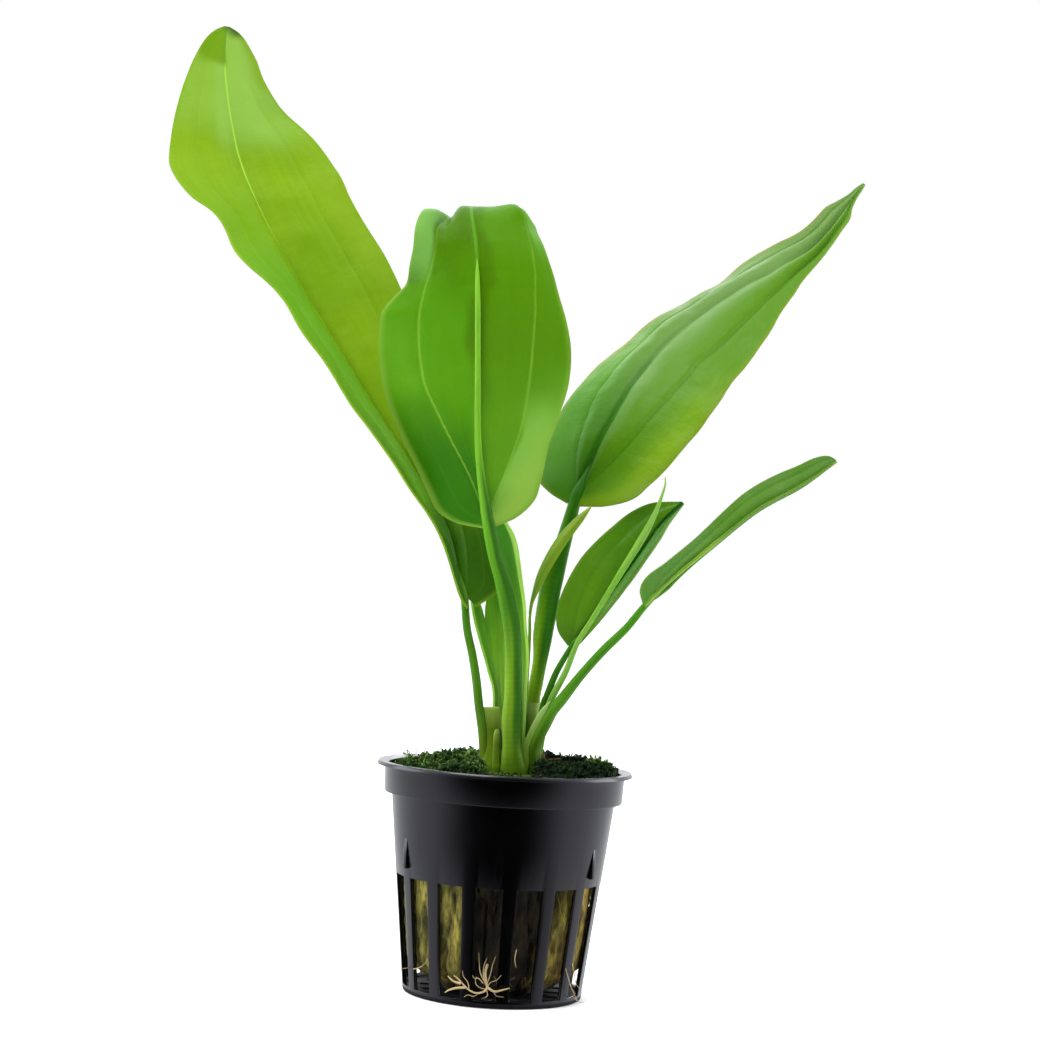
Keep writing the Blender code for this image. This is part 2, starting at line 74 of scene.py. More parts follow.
def node(tree, kind, *inputs, stops=(), **more):
    """Adds a shader node, or fills in one that is there, and gives its outputs.

    Inputs are values or other nodes' outputs. They go by place, by name, or by number as i6. What is
    left in lower case are the node's own settings, and stops are a colour ramp's places and colours.
    """
    made = kind
    if isinstance(kind, str):
        kind, _, mode = kind.partition(" ")
        made = tree.nodes.new("ShaderNode" + kind)
        if kind == "Mix":
            made.data_type = "RGBA"
        if mode:
            setattr(made, MODE_OF[kind], mode)
    sockets = list(zip(made.inputs, inputs))
    for key, value in more.items():
        if key[0].isupper():
            sockets.append((made.inputs[key.replace("_", " ")], value))
        elif key[1:].isdigit():
            sockets.append((made.inputs[int(key[1:])], value))
        else:
            setattr(made, key, value)
    for socket, value in sockets:
        if isinstance(value, bpy.types.NodeSocket):
            tree.links.new(value, socket)
        else:
            socket.default_value = value
    for k, (position, hex_colour) in enumerate(stops):
        stop = made.color_ramp.elements[k] if k < 2 else made.color_ramp.elements.new(position)
        stop.position = position
        stop.color = linear(hex_colour)
    return made.outputs


def new_material(name):
    mat = bpy.data.materials.new(name)
    mat.use_nodes = True
    return mat, mat.node_tree, mat.node_tree.nodes["Principled BSDF"]


def speckled(name, scale, detail, first, second, roughness, bump=None):
    """A material that wanders between two colours; bump gives the strength and depth of its relief."""
    mat, tree, shader = new_material(name)
    place = node(tree, "TexCoord")["Object"]
    spots = node(tree, "TexNoise", place, Scale=scale, Detail=detail)["Fac"]
    tone = node(tree, "Mix", spots, i6=linear(first), i7=linear(second))[2]
    node(tree, shader, Base_Color=tone, Roughness=roughness)
    if bump:
        relief = node(tree, "Bump", Strength=bump[0], Distance=bump[1], Height=spots)[0]
        node(tree, shader, Normal=relief)
    return mat


bm = bmesh.new()
bmesh.ops.create_grid(bm, x_segments=2, y_segments=2, size=6.0)
bmesh.ops.translate(bm, verts=bm.verts, vec=(0.0, 0.0, -0.00002))
mesh = bpy.data.meshes.new("table_top")
bm.to_mesh(mesh)
bm.free()
mesh.materials.append(speckled("matt_white_laminate", 600, 3, "#F4F4F3", "#FAFAFA", 0.7))
table_top = bpy.data.objects.new("table_top", mesh)
bpy.context.scene.collection.objects.link(table_top)
table_top.visible_glossy = False


# Studio light
# White surroundings behind and beside the plant, dark towards the camera, so the black pot shows
# a soft grey band down each side and stays black in the middle. A wide lamp above the camera gives most
# of the light, with weaker ones at both sides and behind.

world = bpy.data.worlds.new("studio")
world.use_nodes = True
bpy.context.scene.world = world
tree = world.node_tree
tree.nodes.clear()
place = node(tree, "TexCoord")["Generated"]
apart = node(tree, "SeparateXYZ", place)
sides = node(tree, "MapRange SMOOTHSTEP", apart["Y"], -0.88, -0.2, 0.0, 1.0)
upward = node(tree, "MapRange", apart["Z"], -0.2, 1.0, 1.1, 2.0)
amount = node(tree, "Math MULTIPLY", sides["Result"], upward["Result"])
around = node(tree, "Background", (0.95, 0.97, 1.0, 1.0), amount[0])
behind = node(tree, "Background", (1.0, 1.0, 1.0, 1.0), 1.0)
ray = node(tree, "LightPath")
both = node(tree, "MixShader", ray["Is Camera Ray"], around[0], behind[0])
node(tree, "OutputWorld", both[0])

for name, place, aim, size, power, colour in (
        ("lamp_above", (-0.35, -0.4, 0.95), (0.0, 0.0, 0.1), 0.6, 9.5, (1.0, 0.99, 0.97)),
        ("lamp_left", (-0.62, 0.1, 0.2), (0.0, 0.0, 0.07), 0.4, 1.5, (0.92, 0.95, 1.0)),
        ("lamp_right", (0.62, 0.12, 0.2), (0.0, 0.0, 0.07), 0.4, 2.0, (0.95, 0.97, 1.0)),
        ("lamp_back", (-0.1, 0.7, 0.6), (0.0, 0.0, 0.1), 0.7, 3.0, (1.0, 1.0, 1.0))):
    light = bpy.data.lights.new(name, "AREA")
    light.energy = power
    light.size = size
    light.color = colour
    lamp = bpy.data.objects.new(name, light)
    bpy.context.scene.collection.objects.link(lamp)
    lamp.matrix_world = (Matrix.Translation(place)
                         @ (Vector(aim) - Vector(place)).to_track_quat("-Z", "Y").to_matrix().to_4x4())


# Pot
# A net pot injection moulded in black polypropylene: thin tapered wall, stepped collar, flat lip,
# sixteen slots with bars between them, radial openings in the floor and six small stacking wedges.

POT_STEPS = 192
STEPS_PER_SLOT = 12
SLOT_STEPS = 8
POT_TURN = 18.05
POT_WALL = 0.85


def pot_radius(z):
    """Outer radius of the pot's slanted body, in millimetres."""
    return 19.15 + 0.1155 * z


def finished(name, bm, *mats, smooth_below=40.0):
    """Turns a bmesh into a shaded object that belongs to the plant's one body."""
    mesh = bpy.data.meshes.new(name)
    bm.to_mesh(mesh)
    bm.free()
    for mat in mats:
        mesh.materials.append(mat)
    mesh.shade_smooth()
    mesh.set_sharp_from_angle(angle=math.radians(smooth_below))
    piece = bpy.data.objects.new(name, mesh)
    bpy.context.scene.collection.objects.link(piece)
    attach(piece, "root")
    return piece


polypropylene, tree, shader = new_material("moulded_black_polypropylene")
place = node(tree, "TexCoord")["Object"]
cloudy = node(tree, "TexNoise", place, Scale=90.0, Detail=3.0)
grain = node(tree, "TexNoise", place, Scale=2500.0, Detail=2.0)
black = node(tree, "Mix", cloudy["Fac"], i6=linear("#010102"), i7=linear("#030304"))
polish = node(tree, "MapRange", cloudy["Fac"], To_Min=0.17, To_Max=0.26)
apart = node(tree, "SeparateXYZ", place)
low_inside = node(tree, "MapRange", apart["Z"], 0.0007, 0.0013, 0.95, 0.0)
polish = node(tree, "Math MAXIMUM", polish["Result"], low_inside["Result"])
skin = node(tree, "Bump", Strength=0.12, Distance=0.0001, Height=grain["Fac"])
node(tree, shader, Base_Color=black[2], Roughness=polish[0], Normal=skin["Normal"], IOR=1.49,
     Specular_IOR_Level=0.5, Specular_Tint=(0.92, 0.9, 1.0, 1.0))

pot_line = ((0.0, 0.0), (2.0, 0.0), (8.0, 0.0), (15.5, 0.0), (18.75, 0.0), (19.05, 0.12), (19.16, 0.4),
            (19.33, 1.5), (20.65, 13.0), (22.03, 24.9), (23.0, 33.3), (23.9, 41.3), (24.0, 42.0),
            (25.4, 42.02), (25.52, 42.2), (25.8, 47.6), (26.0, 47.72), (27.3, 47.72), (27.5, 47.8))
bm = bmesh.new()
spots = [bm.verts.new((r * MM, 0.0, z * MM)) for r, z in pot_line]
for a, b in zip(spots, spots[1:]):
    bm.edges.new((a, b))
bmesh.ops.rotate(bm, verts=bm.verts, matrix=Matrix.Rotation(math.radians(POT_TURN - 90 - 7.5), 3, "Z"))
bmesh.ops.spin(bm, geom=bm.verts[:] + bm.edges[:], axis=(0, 0, 1), cent=(0, 0, 0), angle=math.tau,
               steps=POT_STEPS, use_merge=True)
bmesh.ops.remove_doubles(bm, verts=bm.verts, dist=0.000002)
bmesh.ops.recalc_face_normals(bm, faces=bm.faces)
if sum(f.normal.z * f.calc_area() for f in bm.faces if f.calc_center_median().z < 0.0001) > 0:
    bmesh.ops.reverse_faces(bm, faces=bm.faces)
open_faces = []
for face in bm.faces:
    middle = face.calc_center_median()
    turn = math.degrees(math.atan2(middle.x, -middle.y)) - POT_TURN + 7.5
    step = int((turn % 360.0) / 360.0 * POT_STEPS) % STEPS_PER_SLOT
    reach = math.hypot(middle.x, middle.y) / MM
    in_wall = 1.5 * MM < middle.z < 24.9 * MM and step < SLOT_STEPS
    in_floor = middle.z < 0.05 * MM and 8.0 < reach < 15.5 and 1 < step < SLOT_STEPS - 1
    if in_wall or in_floor:
        open_faces.append(face)
bmesh.ops.delete(bm, geom=open_faces, context="FACES")
pot = finished("pot_moulding", bm, polypropylene, smooth_below=35.0)
wall = pot.modifiers.new("wall", "SOLIDIFY")
wall.thickness = POT_WALL * MM
wall.offset = -1.0
wall.use_even_offset = True
round_off = pot.modifiers.new("round_off", "BEVEL")
round_off.width = 0.16 * MM
round_off.segments = 2
round_off.limit_method = "ANGLE"
round_off.angle_limit = math.radians(50)
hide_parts("pot")

bm = bmesh.new()
for k in range(6):
    cube = bmesh.ops.create_cube(bm, size=1.0)["verts"]
    for vert in cube:
        low = vert.co.z < 0
        z = 26.8 if low else 33.1
        out = pot_radius(z) + (0.8 if low else 0.05) if vert.co.y < 0 else pot_radius(z) - 0.3
        vert.co = Vector((0.7 * math.copysign(1, vert.co.x), -out, z)) * MM
    bmesh.ops.rotate(bm, verts=cube, cent=(0, 0, 0), matrix=Matrix.Rotation(math.radians(60 * k), 3, "Z"))
bmesh.ops.bevel(bm, geom=bm.edges[:], offset=0.22 * MM, affect="EDGES", segments=2, profile=0.5, material=-1)
wedges = finished("pot_wedges", bm, polypropylene)


# Rock wool plug
# Mineral wool in vertical folds, stained olive by algae, wedged in the pot. It is torn at the front
# right, does not reach the floor, and its lower edge hangs in loose fibres. Painted shade darkens the
# torn part, the creases and the foot.

wool, tree, shader = new_material("stained_mineral_wool_painted_shade")
place = node(tree, "TexCoord")["Object"]
upright = node(tree, "Mapping", place, Scale=(1.0, 1.0, 0.18))
strands = node(tree, "TexNoise", upright["Vector"], Scale=1400.0, Detail=5.0, Distortion=0.6)
stains = node(tree, "TexNoise", place, Scale=160.0, Detail=4.0)
stain_tone = node(tree, "ValToRGB", stains["Fac"], stops=((0.32, "#46460E"), (0.68, "#9A9038")))
strand_tone = node(tree, "MapRange", strands["Fac"], 0.32, 0.62, 0.3, 1.2)
wool_tone = node(tree, "Mix MULTIPLY", 1.0, i6=stain_tone["Color"], i7=strand_tone["Result"])
tan_places = node(tree, "TexNoise", place, Scale=45.0, Detail=2.0)
tan_share = node(tree, "MapRange", tan_places["Fac"], 0.45, 0.6)
wool_tone = node(tree, "Mix MULTIPLY", tan_share["Result"], i6=wool_tone[2], i7=linear("#FCE4D4"))
# painted shade: the wool darker where the mesh marks the torn part, the creases and the foot
painted_shade = node(tree, "Attribute", attribute_name="painted_shade")
wool_tone = node(tree, "Mix MULTIPLY", painted_shade["Fac"], i6=wool_tone[2], i7=linear("#52482A"))
tufted = node(tree, "Bump", Strength=0.8, Distance=0.0006, Height=strands["Fac"])
node(tree, shader, Base_Color=wool_tone[2], Normal=tufted["Normal"], Roughness=0.85)

WOOL_LOW = 4.2
WOOL_TOP = 41.2
WOOL_GAP = 1.35


def soft_step(x, low, high):
    t = min(max((x - low) / (high - low), 0.0), 1.0)
    return t * t * (3 - 2 * t)


def torn_out(degrees, z):
    """0 where the wool reaches the slots, 1 in the torn part at the front, set back and darkened with
    painted shade.
    """
    left_edge = -24.0 + 0.25 * (z - 12)
    right_edge = min(36.0 + 1.4 * max(z - 12.4, 0.0), 50.0)
    past_left = soft_step(degrees, left_edge, left_edge + 7)
    past_right = soft_step(degrees, right_edge - 4, right_edge)
    return past_left * (1 - past_right) * soft_step(44.0 - z, 0.0, 8.0)


bm = bmesh.new()
painted_shade_layer = bm.verts.layers.float.new("painted_shade")
bmesh.ops.create_grid(bm, x_segments=220, y_segments=80, size=0.5)
for vert in bm.verts:
    turn = math.tau * (vert.co.x + 0.5)
    rise = vert.co.y + 0.5
    z = WOOL_LOW + (WOOL_TOP - WOOL_LOW) * rise
    degrees = (math.degrees(turn) + 180) % 360 - 180
    radius = pot_radius(z) - WOOL_GAP
    folds = noise.noise(Vector((math.cos(turn) * 3.2, math.sin(turn) * 3.2, z * 0.035)))
    lumps = noise.noise(Vector((math.cos(turn) * 6, math.sin(turn) * 6, z * 0.22 + 7)))
    fuzz = noise.noise(Vector((math.cos(turn) * 30, math.sin(turn) * 30, z * 0.4)))
    crease = abs(noise.noise(Vector((math.cos(turn) * 9, math.sin(turn) * 9, z * 0.05 + 2))))
    crease = soft_step(0.12 - crease, 0.0, 0.12)
    radius += 0.8 * folds - 0.4 * abs(lumps) + 0.25 * fuzz - 1.1 * crease - 0.2
    torn = torn_out(degrees, z)
    radius -= torn * (4.0 + 1.5 * folds)
    # painted shade: full in the torn part, less in the creases and low down
    vert[painted_shade_layer] = min(1.0, torn + 0.7 * crease + 0.3 * soft_step(6.0 - z, 0.0, 4.0))
    if rise < 0.08:
        radius *= 0.84 + 0.16 * (rise / 0.08) ** 0.5
        z += 1.4 * abs(lumps) * (1 - rise / 0.08)
    vert.co = Vector((radius * math.sin(turn), -radius * math.cos(turn), z)) * MM
bmesh.ops.remove_doubles(bm, verts=bm.verts, dist=0.00001)
foot = [e for e in bm.edges if e.is_boundary and e.verts[0].co.z < 0.02]
grown = bmesh.ops.extrude_edge_only(bm, edges=foot)["geom"]
# the foot drawn in under the plug, wholly in painted shade
for vert in [g for g in grown if isinstance(g, bmesh.types.BMVert)]:
    vert.co = Vector((vert.co.x * 0.85, vert.co.y * 0.85, 0.002 + 0.0008 * noise.noise(vert.co * 300)))
    vert[painted_shade_layer] = 1.0
bmesh.ops.holes_fill(bm, edges=[e for e in bm.edges if e.is_boundary], sides=0)
bmesh.ops.recalc_face_normals(bm, faces=bm.faces)
plug = finished("rock_wool_plug", bm, wool, smooth_below=60.0)
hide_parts("rock_wool")


def strand_mesh(name, lines, radius, mat, taper=0.3, sides=1):
    """Fine threads as one mesh: each line is a smooth curve, thinner at its far end."""
    data = bpy.data.curves.new(name, "CURVE")
    data.dimensions = "3D"
    data.resolution_u = 3
    data.bevel_depth = radius * MM
    data.bevel_resolution = sides
    data.use_fill_caps = True
    for line in lines:
        spline = data.splines.new("BEZIER")
        spline.bezier_points.add(len(line) - 1)
        for k, (spot, p) in enumerate(zip(spline.bezier_points, line)):
            spot.co = Vector(p) * MM
            spot.handle_left_type = "AUTO"
            spot.handle_right_type = "AUTO"
            spot.radius = 1.0 - (1.0 - taper) * k / (len(line) - 1)
    holder = bpy.data.objects.new(name + "_line", data)
    bpy.context.scene.collection.objects.link(holder)
    made = bpy.data.meshes.new_from_object(holder.evaluated_get(bpy.context.evaluated_depsgraph_get()))
    bpy.data.objects.remove(holder, do_unlink=True)
    bm = bmesh.new()
    bm.from_mesh(made)
    bpy.data.meshes.remove(made)
    bmesh.ops.remove_doubles(bm, verts=bm.verts, dist=0.000005)
    bmesh.ops.recalc_face_normals(bm, faces=bm.faces)
    piece = finished(name, bm, mat, smooth_below=80.0)
    return piece


dice = random.Random(11)
lines = []
for k in range(420):
    turn = dice.uniform(0, math.tau)
    z = dice.uniform(5.5, 30.0)
    if torn_out((math.degrees(turn) + 180) % 360 - 180, z) > 0.1:
        continue
    height = dice.uniform(1.5, 6.0)
    lean = dice.uniform(-0.12, 0.12)
    line = []
    for s in (0.0, 0.35, 0.7, 1.0):
        at = turn + lean * s
        zz = min(z + height * s, 40.5)
        r = pot_radius(zz) - WOOL_GAP - 0.25 + dice.uniform(-0.35, 0.25)
        line.append((r * math.sin(at), -r * math.cos(at), zz))
    lines.append(line)
for k in range(90):
    turn = dice.uniform(0, math.tau)
    line = []
    for s in (0.0, 0.5, 1.0):
        r = 16.6 - 1.5 * s + dice.uniform(-0.8, 0.8)
        line.append((r * math.sin(turn), -r * math.cos(turn), 6.2 - 3.4 * s * dice.uniform(0.6, 1.0)))
        turn += dice.uniform(-0.05, 0.05)
    lines.append(line)
strand_mesh("rock_wool_fibres", lines, 0.07, wool, sides=0)


# Leaves
# Living sword plant leaves: a thin blade whose rib stands out on its under side and runs down into a
# fleshy stalk, side veins that follow the outline, and fine rings across the thick, wide-footed stalks.

def smooth_row(rows, x):
    """Values at x of rows of (x, value, ...), on a smooth curve through them."""
    last = len(rows) - 1
    x = min(max(x, rows[0][0]), rows[-1][0])
    i = 0
    while i < last - 1 and x > rows[i + 1][0]:
        i += 1
    a, b = rows[i], rows[i + 1]
    before, after = rows[max(i - 1, 0)], rows[min(i + 2, last)]
    span = b[0] - a[0]
    t = (x - a[0]) / span
    values = []
    for k in range(1, len(a)):
        slope_a = (b[k] - before[k]) / (b[0] - before[0]) * span
        slope_b = (after[k] - a[k]) / (after[0] - a[0]) * span
        values.append((2 * t ** 3 - 3 * t * t + 1) * a[k] + (t ** 3 - 2 * t * t + t) * slope_a
                      + (3 * t * t - 2 * t ** 3) * b[k] + (t ** 3 - t * t) * slope_b)
    return values


def growth_line(points, count=201):
    """Even steps, in millimetres, along a smooth curve through the points."""
    p = [Vector(q) for q in points]
    p = [2 * p[0] - p[1]] + p + [2 * p[-1] - p[-2]]
    fine = []
    for a, b, c, d in zip(p, p[1:], p[2:], p[3:]):
        for k in range(24):
            t = k / 24
            fine.append(0.5 * (2 * b + (c - a) * t + (2 * a - 5 * b + 4 * c - d) * t ** 2
                               + (3 * b - a - 3 * c + d) * t ** 3))
    fine.append(p[-2])
    lengths = [0.0]
    for a, b in zip(fine, fine[1:]):
        lengths.append(lengths[-1] + (b - a).length)
    steps = []
    at = 0
    for k in range(count):
        target = lengths[-1] * k / (count - 1)
        while at < len(fine) - 2 and lengths[at + 1] < target:
            at += 1
        steps.append(fine[at].lerp(fine[at + 1], (target - lengths[at]) / (lengths[at + 1] - lengths[at])))
    return steps, lengths[-1]


def on_line(steps, share, facing, key):
    """Place, direction, across and upper side at a share of a growth line."""
    last = len(steps) - 1
    x = min(max(share, 0.0), 1.0) * last
    i = min(int(x), last - 1)
    place = steps[i].lerp(steps[i + 1], x - i)
    here, after = [(steps[min(k + 2, last)] - steps[max(k - 2, 0)]).normalized() for k in (i, i + 1)]
    along = here.lerp(after, x - i).normalized()
    across = along.cross(Vector(smooth_row(facing, key))).normalized()
    return place, along, across, across.cross(along)


def lay_maps(bm, where):
    """Two maps from what each point says: shares across and along, and sizes in tenths of a metre."""
    vein_map = bm.loops.layers.uv.new("veins")
    size_map = bm.loops.layers.uv.new("size")
    for face in bm.faces:
        for loop in face.loops:
            x, y, across_mm, along_mm = where[loop.vert]
            loop[vein_map].uv = (x, y)
            loop[size_map].uv = (across_mm / 100, along_mm / 100)


RING_GAP = 1.15
STALK_STAGES = 90
RIB_STAGES = 60
FOOT_STAGES = 4
BLADE_THICKNESS = 0.38


def grow_leaf(name, cad_node, stalk, girth, facing, stalk_look, blade_look=None, blade=None,
              outline=None, folds=None, sweep=((0, 2.5), (0.06, 2), (0.15, 0)),
              side_vein=((0, 0.05, 0.05), (0.03, 0.15, 0.15), (0.1, 0.33, 0.33), (0.2, 0.46, 0.46),
                         (0.35, 0.55, 0.55), (0.6, 0.6, 0.6), (1, 0.55, 0.55)),
              wings=((0, 0, 0), (1, 0, 0)), dents=(), bow=0.0, rib=0.9, rib_reach=0.75, groove=0.16,
              pucker=0.15, rings=0.0, seed=1.0, rib_end=3, rib_sink=0.9, columns=56, rows=150):
    """One leaf, in millimetres and degrees.

    Rows start with a share from foot to tip. Facing is the upper side's direction, on the stalk from -1 to
    0; girth is half the stalk's width and depth; sweep draws the margins back. The other rows hold the left
    and the right half. A dent is its place along and across, its length and breadth there, and its height.
    """
    bm = bmesh.new()
    where = {}
    stalk_steps, stalk_length = growth_line(stalk)
    blade_steps, blade_length = growth_line(blade) if blade else (None, 0.0)
    total = STALK_STAGES + (RIB_STAGES if blade else 0)
    tube = bmesh.ops.create_grid(bm, x_segments=20, y_segments=total, size=0.5)["verts"]
    for vert in tube:
        turn = vert.co.x + 0.5
        stage = round((vert.co.y + 0.5) * total)
        sink = 0.0
        if stage <= STALK_STAGES:
            # the lowest stages run straight on below the line, into the crown, a millimetre each
            share = max(0, stage - FOOT_STAGES) / (STALK_STAGES - FOOT_STAGES)
            place, along, across, up = on_line(stalk_steps, share, facing, share - 1.0)
            wide, deep = smooth_row(girth, share)
            length = share * stalk_length
            place = place - along * max(0, FOOT_STAGES - stage)
            height = 0.01 * min(stage, FOOT_STAGES) + 0.76 * share
            swell = 1 + rings * math.cos(math.tau * length / RING_GAP) * min(1.0, 4 * share)
            wide, deep = wide * swell, deep * swell
        else:
            share = (stage - STALK_STAGES) / RIB_STAGES * rib_reach
            place, along, across, up = on_line(blade_steps, share, facing, share)
            fade = 1 - (share / rib_reach) ** rib_end
            wide = girth[-1][1] * (0.42 + 0.58 * (1 - share) ** 8) * fade + 0.1
            deep = girth[-1][2] * (0.42 + 0.58 * (1 - share) ** 8) * fade + 0.05
            length = stalk_length + share * blade_length
            height = 0.8 + 0.2 * share
            sink = (rib * 0.5 * (1 - share) + rib_sink * deep) * min(1.0, share * 12)
        angle = math.tau * turn
        vert.co = (place + across * wide * math.cos(angle) + up * (deep * math.sin(angle) - sink)) * MM
        where[vert] = (turn, height, turn * 6.0, length)
    for face in bm.faces:
        face.material_index = 1
    if blade:
        sheet = bmesh.ops.create_grid(bm, x_segments=columns, y_segments=rows, size=0.5)["verts"]
        for vert in sheet:
            side = vert.co.x * 2
            v = math.copysign(abs(side) ** 1.2, side)
            t = vert.co.y + 0.5
            u = 0.5 * (0.5 - 0.5 * math.cos(math.pi * t) + t)
            half = 0 if v < 0 else 1
            place, along, across, up = on_line(blade_steps, u, facing, u)
            width = max(smooth_row(outline, u)[half], 0.15)
            fold = math.radians(smooth_row(folds, u)[half])
            vein_at = smooth_row(side_vein, u)[half]
            wing = math.tan(math.radians(smooth_row(wings, u)[half]))
            reach = width * abs(v)
            tilt = 1 if v >= 0 else -1
            out = across * tilt * math.cos(fold) + up * math.sin(fold)
            normal = up * math.cos(fold) - across * tilt * math.sin(fold)
            calm = min(1.0, 8 * u) * min(1.0, 6 * (1 - u))
            past = (reach - width * vein_at) / 0.5
            lift = wing * 0.5 * math.log1p(math.exp(min(past, 30.0))) if past > -30 else 0.0
            lift += bow * math.sin(math.pi * min(abs(v) / vein_at, 1.0)) * calm
            lift -= rib * 0.5 * (1 - u) * math.exp(-(reach / 0.7) ** 2)
            lift -= groove * calm * math.exp(-(past * 0.5 / 0.4) ** 2)
            for dent_u, dent_v, long, broad, height in dents:
                lift += height * math.exp(-((u - dent_u) / long) ** 2 - ((v - dent_v) / broad) ** 2)
            spot = Vector((reach * tilt * 0.11, u * blade_length * 0.11, seed))
            lift += pucker * calm * (2 * noise.noise(spot) + 0.5 * noise.noise(spot * 3.1))
            back = smooth_row(sweep, u)[0] * v * v
            vert.co = (place + out * reach + normal * lift - along * back) * MM
            vein = abs(v) / vein_at if abs(v) < vein_at else 1 + (abs(v) - vein_at) / (1 - vein_at)
            where[vert] = (0.5 + 0.25 * tilt * vein, u, reach * tilt, u * blade_length)
    lay_maps(bm, where)
    bmesh.ops.remove_doubles(bm, verts=tube, dist=0.000002)
    ends = [e for e in bm.edges if e.is_boundary and e.link_faces[0].material_index == 1]
    for face in bmesh.ops.holes_fill(bm, edges=ends, sides=0)["faces"]:
        face.material_index = 1
    bmesh.ops.recalc_face_normals(bm, faces=[f for f in bm.faces if f.material_index == 1])
    if blade:
        flat = [f for f in bm.faces if f.material_index == 0]
        bmesh.ops.recalc_face_normals(bm, faces=flat)
        bmesh.ops.solidify(bm, geom=flat, thickness=BLADE_THICKNESS * MM)
    piece = finished(name, bm, blade_look or stalk_look, stalk_look, smooth_below=70.0)
    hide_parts(cad_node)
    return piece


def overlap(tree, *steps):
    """Product of soft steps. A step is a value, where it starts and ends, and what it gives there."""
    share, *others = [node(tree, "MapRange SMOOTHSTEP", *step)[0] for step in steps]
    for other in others:
        share = node(tree, "Math MULTIPLY", share, other)[0]
    return share


